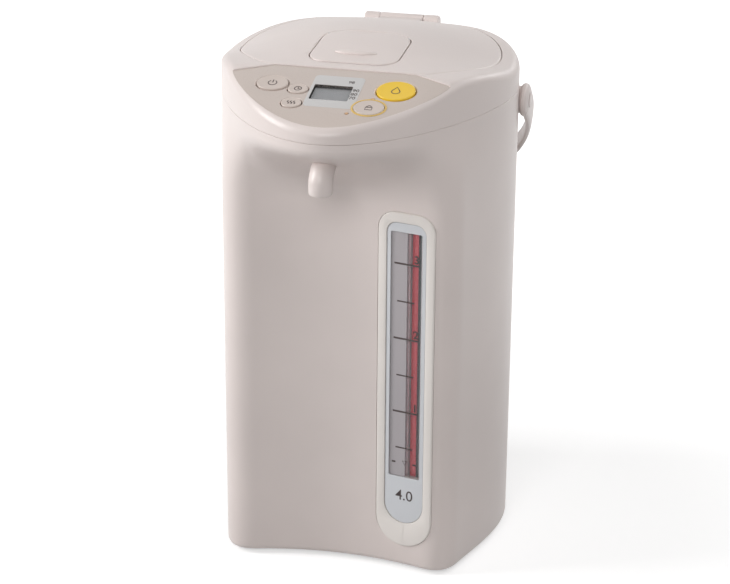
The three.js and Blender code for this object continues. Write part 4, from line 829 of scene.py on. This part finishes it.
def numeral(text, size, x, y, z, matrix, bold=0.0):
    curve = bpy.data.curves.new("numeral", "FONT")
    curve.body, curve.size, curve.align_x, curve.align_y = text, size, "CENTER", "CENTER"
    curve.extrude, curve.offset = letter_half, bold
    thing = place("numeral", curve)
    graph = bpy.context.evaluated_depsgraph_get()
    mesh = bpy.data.meshes.new_from_object(thing.evaluated_get(graph))
    bpy.data.objects.remove(thing)
    mesh.transform(Matrix.Translation((0, shift_y * mm, 0)) @ Matrix.Scale(mm, 4) @ matrix
                   @ Matrix.Translation((x, y, z)))
    return place("numeral", mesh)


def together(name, things):
    work = bmesh.new()
    for thing in things:
        work.from_mesh(thing.data)
        bpy.data.objects.remove(thing)
    mesh = bpy.data.meshes.new(name)
    work.to_mesh(mesh)
    work.free()
    return place(name, mesh)


# The grey print over the left of the window, beside the clear strip that shows the tube
film_left = film_margin - window_wide / 2
film_outline = rounded_box(film_right - film_left, window_high - window_low - 2 * film_margin, film_round,
                           (film_left + film_right) / 2, window_mid)
window_print = slab("window_print", film_outline, window_front + film_off, window_front + film_thick,
                    matrix=gauge_matrix)
dress(window_print, print_mat, "body", "backing_grey")


def gauge_mark(points, wide, loop=False):
    return ribbon(points, wide, mark_z, mark_z + mark_thick, gauge_matrix, loop)


marks = []
for number in range(1, 7):
    z = floor_z + number * half_litre
    left, right, wide = short_tick if number % 2 else long_tick
    marks.append(gauge_mark([(left, z), (right, z)], wide))
    if number % 2 == 0:
        marks.append(numeral(str(number // 2), number_size, number_x, z + number_up, mark_z + number_off,
                             gauge_matrix, number_bold))
for left, right in refill_dashes:
    marks.append(gauge_mark([(left, refill_z), (right, refill_z)], refill_line))
arrow = [(-arrow_half, refill_z + arrow_up), (arrow_half, refill_z + arrow_up), (0, refill_z - arrow_down)]
marks.append(gauge_mark(arrow, arrow_line, loop=True))
marks.append(numeral("4.0", litres_size, *litres_place, label_front + litres_off, gauge_matrix, litres_bold))
dress(together("gauge_marks", marks), ink, "body", "dark_plastic", limit=60)

# The tube with the red line that the water shows across its bore
tube_matrix = gauge_matrix @ stand(tube_x, 0, -tube_depth, -math.pi / 2, "X")
tube = turned("tube", [(tube_bore, tube_low), (tube_radius, tube_low), (tube_radius, tube_high),
                       (tube_bore, tube_high), (tube_bore, tube_low)], steps=tube_steps, matrix=tube_matrix)
dress(tube, glass_mat, "body", "tube_glass", "gauge_tube")
# The tube's front shows the red line behind it drawn wide by the water
turn = np.linspace(*band_turn, tube_steps // 3 + 1)
around = np.stack([np.sin(turn), np.cos(turn)], 1)
band = np.concatenate([around * (tube_radius + band_skin), (around * (tube_radius + band_off))[::-1]])
band_rings = [np.column_stack([tube_x + band[:, 0], np.full(len(band), y), band[:, 1] - tube_depth])
              for y in (tube_low + band_end, tube_high - band_end)]
dress(loft("water_line", band_rings, gauge_matrix), red_mat, "body", "red_strip")
left, right = trough_side
in_left, in_right = tube_x - tube_radius - trough_lip, tube_x + tube_radius + trough_lip
floor_depth = trough_back + trough_floor
trough = np.array([
    (left, trough_front), (in_left, trough_front), (in_left, floor_depth), (in_right, floor_depth),
    (in_right, trough_front), (right, trough_front), (right, trough_back), (left, trough_back)])
trough_rings = [np.column_stack([trough[:, 0], np.full(len(trough), y), trough[:, 1]])
                for y in (tube_low + trough_end, tube_high - trough_end)]
dress(loft("trough", trough_rings, gauge_matrix), trough_white_painted_light, "body", "white_plastic", "gauge_trough")

# Panel
panel = slab("panel", panel_outline(gap - lap), -panel_thick, 0, 0, panel_edge, panel_matrix)


def panel_hole_at(outline):
    return cut_slab(outline, -panel_cut, panel_cut, panel_matrix)


def display_outline(grow=0.0, corner=display_round):
    return rounded_box(display_size[0] + grow, display_size[1] + grow, corner, *display_place)


for name, (x, y, wide, long) in buttons.items():
    carve(panel, panel_hole_at(ellipse(wide + moats[name] - lap, long + moats[name] - lap, x, y)))
carve(panel, panel_hole_at(display_outline()))
for x, y in lamps.values():
    carve(panel, panel_hole_at(ellipse(lamp_hole, lamp_hole, x, y, 32)))
dress(panel, film, "body", "panel_plastic", "panel_plate")

display_label = slab("display_label", rounded_box(*label_size, label_round, *label_place), label_sunk,
                     label_raised, 0, panel_edge, panel_matrix)
carve(display_label, panel_hole_at(display_outline()))
dress(display_label, surround_mat, "body", "label_plastic", "display_label")
# Dark walls of the display's recess, under the label: painted shade, standing for the shadow inside the recess
# round the display.
shaded_well = slab("display_well_painted_shade", display_outline(well_grow, well_round), well_deep, label_sunk,
            matrix=panel_matrix)
carve(shaded_well, panel_hole_at(display_outline()))
dress(shaded_well, dark_mat, "body", "dark_plastic")


def key(name, material, slot_name):
    """A key's cap: round at the rim, with a shallow dish on top."""
    x, y, wide, long = buttons[name]
    outline = ellipse(wide, long, x, y)
    rings, last = soft_rings(outline, key_back, key_proud, 0, key_proud), inset(outline, key_proud)
    for share in np.linspace(1, tip_share, 10)[1:]:
        dip = key_dish * (1 - share ** 2)
        rings.append(raised(np.array([x, y]) + (last - [x, y]) * share, key_proud - dip))
    dress(loft(name + "_cap", rings, panel_matrix), material, name + "_key", slot_name, name + "_button")


def key_ring(name, material, slot_name, node):
    """The raised ring round a key."""
    x, y, wide, long = buttons[name]
    inner = ellipse(wide + ring_gap, long + ring_gap, x, y)
    outer = ellipse(wide + ring_grow, long + ring_grow, x, y)
    side = ring_tall * ring_side_share
    rings = [raised(outer, ring_back), raised(inset(outer, ring_outer_edge[0]), side),
             raised(inset(outer, ring_outer_edge[1]), ring_tall),
             raised(inset(inner, -ring_inner_edge), ring_tall),
             raised(inner, side), raised(inner, ring_back)]
    dress(loft(name + "_ring", rings, panel_matrix, loop=True), material, "body", slot_name, node)


def key_moat(name, material, slot_name):
    """The sloping side of the shallow recess that a key stands in."""
    x, y, wide, long = buttons[name]
    inner = ellipse(wide + gap, long + gap, x, y)
    outer = ellipse(wide + moats[name], long + moats[name], x, y)
    middle = inner * (1 - moat_bend_share) + outer * moat_bend_share
    rings = [raised(outer, moat_lip), raised(middle, moat_bend), raised(inner, moat_floor),
             raised(inner, moat_back), raised(outer, moat_back)]
    dress(loft(name + "_recess", rings, panel_matrix, loop=True), material, "body", slot_name, limit=70)


for name in buttons:
    bright = name == "dispense"
    key(name, yellow if bright else key_mat, "yellow_plastic" if bright else "panel_plastic")
    if name == "unlock":
        key_ring(name, ring_mat, "yellow_plastic", "unlock_ring")
    else:
        key_moat(name, key_mat, "panel_plastic")


def icon(name, strokes):
    """Printed strokes on a key, each a line of points, open or closed."""
    at = buttons[name][:2]
    high = icon_low + icon_thick
    return [ribbon(np.asarray(points, float) + at, icon_line, icon_low, high, panel_matrix, loop)
            for points, loop in strokes]


wave = np.stack([wave_half * np.sin(np.linspace(0, 2 * math.pi, wave_steps)),
                 np.linspace(-wave_long, wave_long, wave_steps)], 1)
drop = np.concatenate([arc(0, -1, 2.6, -215, 35), [(0, 4.2)]])
icons = {
    "energy": [(arc(0, 0, 2.7, 125, 415), False), ([(0, 0.3), (0, 3.5)], False)],
    "timer": [(arc(0, 0, 2.2, 0, 342), True), ([(0, 1.4), (0, 0), (1.1, -0.5)], False)],
    "boil": [(wave + [offset, 0], False) for offset in (-wave_pitch, 0.0, wave_pitch)],
    "dispense": [(drop, True)],
    "unlock": [([(-2.1, -2.6), (2.1, -2.6), (2.1, 0.2), (-2.1, 0.2)], True),
               (arc(0, 0.6, 1.5, 180, 20), False)],
}
for name, strokes in icons.items():
    dress(together(name + "_icon", icon(name, strokes)), ink, name + "_key", "dark_plastic", limit=60)
scale = [numeral(text, scale_size, scale_x - scale_lean * row, scale_y - scale_pitch * row, scale_z,
                 panel_matrix, scale_bold) for row, text in enumerate(("90", "80", "70"))]
scale.append(numeral("98", boiling_size, boiling_x, boiling_y, scale_z, panel_matrix, scale_bold))
dress(together("display_scale", scale), ink, "body", "dark_plastic", limit=60)

# Handle: a strap with soft edges that swells into a teardrop ear over the boss at each pivot
ear_x = (ear_inner + ear_outer) / 2


def strap_rings(steps=140, sides=24):
    rings = []
    turn = np.linspace(0, 2 * math.pi, sides + 1)[:-1]
    for angle in np.linspace(0, math.pi, steps):
        from_ear = min(angle, math.pi - angle) * handle_reach
        swell = math.exp(-(from_ear / swell_long) ** 2)
        near = math.exp(-(from_ear / draw_long) ** 2)
        centre = np.array([(strap_x - strap_draw * near) * math.cos(angle),
                           (handle_reach - strap_in) * math.sin(angle)])
        along = np.array([-ear_x * math.sin(angle), handle_reach * math.cos(angle)])
        along /= np.linalg.norm(along)
        out = np.array([along[1], -along[0]])
        thick, high = strap_thick + swell_thick * swell, strap_high + swell_high * swell
        across = np.sign(np.cos(turn)) * np.abs(np.cos(turn)) ** side_power * thick / 2
        up = np.sign(np.sin(turn)) * np.abs(np.sin(turn)) ** edge_power * high / 2
        rings.append(np.column_stack([centre[0] + out[0] * across, centre[1] + out[1] * across, up]))
    return rings


handle_matrix = stand(0, pivot_y, pivot_z, -handle_sag, "X")
handle = loft("handle", strap_rings(), handle_matrix)
recess_x = top_radius + boss_proud + gap
for side in (-1, 1):
    turn = handle_matrix @ Matrix.Rotation(side * math.pi / 2, 4, "Y")
    recess = [(boss_radius - ear_recess_in, recess_x), (boss_radius + ear_play, recess_x),
              (boss_radius + ear_play, ear_inner)]
    rim_in = [(ear_radius - inward, ear_inner + out) for inward, out in ear_inner_edge]
    rim_out = [(ear_radius - inward, ear_outer + out) for inward, out in ear_outer_edge]
    ear = turned("ear", recess + rim_in + rim_out, steps=pivot_steps, matrix=turn)
    carve(handle, ear, operation="UNION")
dress(handle, shell, "handle", "shell_plastic", "carry_handle")
for side, node in ((-1, "pivot_screw_left"), (1, "pivot_screw_right")):
    turn = stand(0, pivot_y, pivot_z, side * math.pi / 2, "Y")
    cap = turned("pivot_cap", [(stem_radius, top_radius - stem_deep), (stem_radius, ear_outer)]
                 + [(cap_radius - inward, ear_outer + out) for inward, out in cap_edge],
                 steps=tube_steps, matrix=turn)
    dress(cap, shell, "body", "shell_plastic", node)

# Floor, light and camera
def floor_plane(name, half):
    mesh = bpy.data.meshes.new(name)
    corners = [(-half, -half, 0), (half, -half, 0), (half, half, 0), (-half, half, 0)]
    mesh.from_pydata(corners, [], [(0, 1, 2, 3)])
    return place(name, mesh)


def backdrop_seen(tree):
    """1 for rays from the camera, from gloss and through glass, which see a white studio."""
    path = tree.nodes.new("ShaderNodeLightPath")
    total = path.outputs["Is Camera Ray"]
    for kind in ("Is Glossy Ray", "Is Transmission Ray"):
        either = tree.nodes.new("ShaderNodeMath")
        either.operation = "MAXIMUM"
        tree.links.new(total, either.inputs[0])
        tree.links.new(path.outputs[kind], either.inputs[1])
        total = either.outputs["Value"]
    return total


def floor_look():
    """Pale matt floor; where it is seen it is lifted to white, and the shadow on it stays."""
    material, tree, shader, output = new_material("floor")
    shader.inputs["Base Color"].default_value = linear(floor_grey)
    shader.inputs["Specular IOR Level"].default_value = floor_gloss
    shader.inputs["Roughness"].default_value = floor_rough
    white = tree.nodes.new("ShaderNodeEmission")
    coordinates = tree.nodes.new("ShaderNodeTexCoord")
    away = tree.nodes.new("ShaderNodeVectorMath")
    away.operation = "LENGTH"
    rise = add_node(tree, "ShaderNodeMapRange",
                    {"From Min": floor_near, "From Max": floor_far, "To Min": floor_lift, "To Max": 1.0})
    rise.interpolation_type = "SMOOTHSTEP"
    lift = tree.nodes.new("ShaderNodeMath")
    lift.operation = "MULTIPLY"
    total = tree.nodes.new("ShaderNodeAddShader")
    link(tree, (coordinates.outputs["Object"], away.inputs[0]), (away.outputs["Value"], rise.inputs["Value"]),
         (backdrop_seen(tree), lift.inputs[0]), (rise.outputs["Result"], lift.inputs[1]),
         (lift.outputs["Value"], white.inputs["Strength"]), (shader.outputs["BSDF"], total.inputs[0]),
         (white.outputs["Emission"], total.inputs[1]), (total.outputs["Shader"], output.inputs["Surface"]))
    return material


# The studio's own lengths are metres
floor_half, floor_grey, floor_gloss, floor_rough = 6, (206, 206, 206), 0.1, 0.8
floor_lift, floor_near, floor_far = 0.55, 0.2, 0.6
floor = floor_plane("floor", floor_half)
floor.data.materials.append(floor_look())

soft_color, soft_strength = (1, 0.985, 0.975, 1), 0.12
world = bpy.data.worlds.new("studio")
bpy.context.scene.world = world
world.use_nodes = True
tree = world.node_tree
tree.nodes.clear()
output = tree.nodes.new("ShaderNodeOutputWorld")
soft = add_node(tree, "ShaderNodeBackground", {"Color": soft_color, "Strength": soft_strength})
seen = add_node(tree, "ShaderNodeBackground", {"Color": (1, 1, 1, 1), "Strength": 1.0})
choose = tree.nodes.new("ShaderNodeMixShader")
link(tree, (backdrop_seen(tree), choose.inputs["Fac"]), (soft.outputs["Background"], choose.inputs[1]),
     (seen.outputs["Background"], choose.inputs[2]), (choose.outputs["Shader"], output.inputs["Surface"]))


def lamp(name, spot, size, watts):
    """A rectangular lamp that points at the middle of the pot."""
    light = bpy.data.lights.new(name, "AREA")
    light.shape, light.size, light.size_y, light.energy = "RECTANGLE", *size, watts
    thing = place(name, light)
    thing.location = spot
    thing.rotation_euler = (Vector(lamp_aim) - Vector(spot)).to_track_quat("-Z", "Y").to_euler()


lamp_aim = (0, 0, 0.2)
lamp("left_key", (-1.1, -0.35, 0.75), (0.5, 0.7), 11.8)
lamp("front_fill", (0.05, -1.3, 0.95), (0.6, 0.5), 6.2)
lamp("right_high", (0.8, 0.1, 1.2), (1.1, 1.1), 6.6)
lamp("rear_fill", (0.6, 1.2, 0.9), (0.6, 0.6), 3.0)

azimuth, elevation, roll = math.radians(13.52), math.radians(20.97), math.radians(0.42)
distance, clip = 1628.2, (0.05, 20)
focal_px, centre_px, picture_px, sensor = 2400.0, (4.47, -10.06), 730.0, 36.0
aim = np.array([0.0, 0.0, 170.0])
right = np.array([math.cos(azimuth), math.sin(azimuth), 0.0])
forward = np.array([-math.sin(azimuth) * math.cos(elevation), math.cos(azimuth) * math.cos(elevation),
                    -math.sin(elevation)])
up = np.cross(right, forward)
right, up = (right * math.cos(roll) + up * math.sin(roll), up * math.cos(roll) - right * math.sin(roll))
camera = bpy.data.cameras.new("camera")
camera.sensor_width, camera.lens = sensor, focal_px / picture_px * sensor
camera.shift_x, camera.shift_y = -centre_px[0] / picture_px, centre_px[1] / picture_px
camera.clip_start, camera.clip_end = clip
eye = place("camera", camera)
spot = (aim - forward * distance + [0, shift_y, 0]) * mm
pose = Matrix((right, up, -forward)).transposed().to_4x4()
pose.translation = Vector(spot)
eye.matrix_world = pose
bpy.context.scene.camera = eye
bpy.context.scene.view_settings.view_transform = "Standard"
